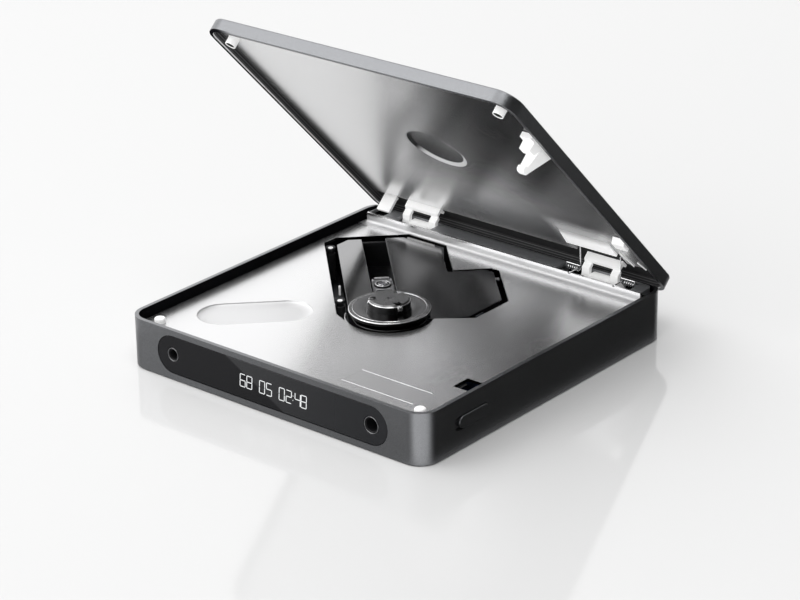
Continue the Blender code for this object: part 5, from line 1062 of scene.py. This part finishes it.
# Painted highlight and shade: the recess's sloped ring is near white on one side, near black on the other.
side_on = recess_paint.axis(from_hub, "X") * 0.6 + recess_paint.axis(from_hub, "Y") * 0.8
in_ring = recess_paint.step(recess_paint.off_axis(from_hub), 10.0 * MM, 10.25 * MM)
ring_painted_light = recess_paint.between(
    recess_paint.step(side_on, -5 * MM, 1 * MM), (0.03, 0.03, 0.031), (0.95, 0.95, 0.955))
recess_paint.fill(recess_paint.shader, {
    "Base Color": recess_paint.between(in_ring, (0.27, 0.27, 0.274), ring_painted_light),
    "Metallic": recess_paint.range(in_ring, 0.95, 0.35)})
recess = in_mm([
    (0, 23.1), (11.8, 23.1), (11.8, 22.18), (11.7, 22.2), (10.2, 22.85), (10.05, 22.87), (0, 22.87)])
recess = lathe(recess, (0, spindle_y), recess_paint, 128)
finish_mesh("liner_recess", stand_open(recess), "lid")

rib_wide, rib_high, rib_level = 0.3 * MM, 0.5 * MM, 22.0 * MM
ribs = []
for ends in (((53.4, 46.6), (54.9, 57.0)), ((58.6, 52.0), (60.2, 57.0))):
    near, far = [Vector((*end, 0)) * MM for end in ends]
    way = (far - near).to_track_quat("Y", "Z").to_matrix().to_4x4()
    middle = (near + far) / 2 + Vector((0, 0, rib_level))
    ribs.append((middle, (rib_wide, (far - near).length, rib_high), way))
ribs = rounded_blocks("liner_ribs", ribs, white_moulding, 0.08 * MM)
finish_mesh("liner_ribs", stand_open(ribs), "lid")


# Lid fittings. White mouldings on the lid: arms, tab and stop, the stepped claw, and the two
# posts, which are thin hollow tubes, each with a black disc set inside its end as painted shade.
for node in ("hinge_arm_left", "hinge_arm_right", "lid_tab", "lid_stop"):
    dress(node, white_moulding, "lid", 0.12 * MM)


def slim_head(place):
    """The claw's lower end drawn in at its rear and right, more so towards its tip."""
    p = shut_place(place)
    rear_share = min(max((21.9 * MM - p.z) / (11.0 * MM), 0), 1)
    right_share = min(max((18.0 * MM - p.z) / (7.1 * MM), 0), 1)
    if p.y > -33.5 * MM:
        p.y -= 2.6 * MM * rear_share
    if p.x > 61.0 * MM:
        p.x -= 2.1 * MM * right_share
    return open_place(p)


dress("latch_claw", white_moulding, "lid", 0.05 * MM, reshape=slim_head)
post_x, post_y = 58.75 * MM, -59.25 * MM
tube_profile = in_mm([
    (2.0, 22.3), (2.0, 18.7), (1.95, 18.62), (1.78, 18.62), (1.7, 18.7), (1.7, 21.4), (0, 21.4)])
# A black disc inside each tube's end: painted shade.
shade_disc_profile = in_mm([
    (0, 21.39), (1.71, 21.39), (1.71, 18.9), (1.67, 18.9), (1.67, 21.35), (0, 21.35)])
for side, centre in (("left", (-post_x, post_y)), ("right", (post_x, post_y))):
    tube = stand_open(lathe(tube_profile, centre, white_moulding, 64))
    finish_mesh(f"post_{side}_tube", tube, "lid", [f"lid_post_{side}"])
    shade_disc = stand_open(lathe(shade_disc_profile, centre, black, 64))
    finish_mesh(f"post_{side}_hollow", shade_disc, "lid")


# Opening slide. A dark metal knob in a slot of the right wall. It rides on a grey moulded
# carriage behind the wall, whose arm is the catch for the lid's claw.
dress("open_knob", gunmetal, "open_slide", 0.12 * MM)
dress("slide_catch", grey, "open_slide", 0.08 * MM)


# Keys. Five small keys of the shell's dark metal, each in its own opening of the left wall, in
# front of a switch on the board behind it.
for name in ("previous", "play", "next", "volume_down", "volume_up"):
    dress(f"key_{name}", gunmetal, f"key_{name}", 0.1 * MM)


# Inside. The display module, circuit boards, wrapped cell, motors, rods and screw lie out of
# sight under the deck. They keep their CAD forms and get their finishes here.
board = Finish("circuit_board")
slanted = board.spot(turn=(0, 0, math.radians(45)))
tracks = board.node(
    "TexBrick", Vector=slanted, Scale=160.0, Mortar_Size=0.03,
    Color1=(0.012, 0.1, 0.04), Color2=(0.02, 0.13, 0.055), Mortar=(0.05, 0.24, 0.1))
board.fill(board.shader, {
    "Base Color": tracks, "Roughness": board.range(board.noise(3 * MM), 0.3, 0.5)})
cell = Finish("battery_wrap")
cell.vary(cell.noise(4 * MM, 3, cell.spot(scale=(1, 0.3, 1))),
          ((0.04, 0.08, 0.2), (0.07, 0.12, 0.27)), (0.3, 0.5), 0.05 * MM)
inside = {
    "main_board": board, "key_board": board, "battery_cell": cell, "display_module": black,
    "spindle_motor": steel, "sled_motor": steel, "guide_rod_left": steel, "guide_rod_right": steel,
    "drive_screw": steel}
for node, finish in inside.items():
    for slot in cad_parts[node].material_slots:
        slot.material = finish.material
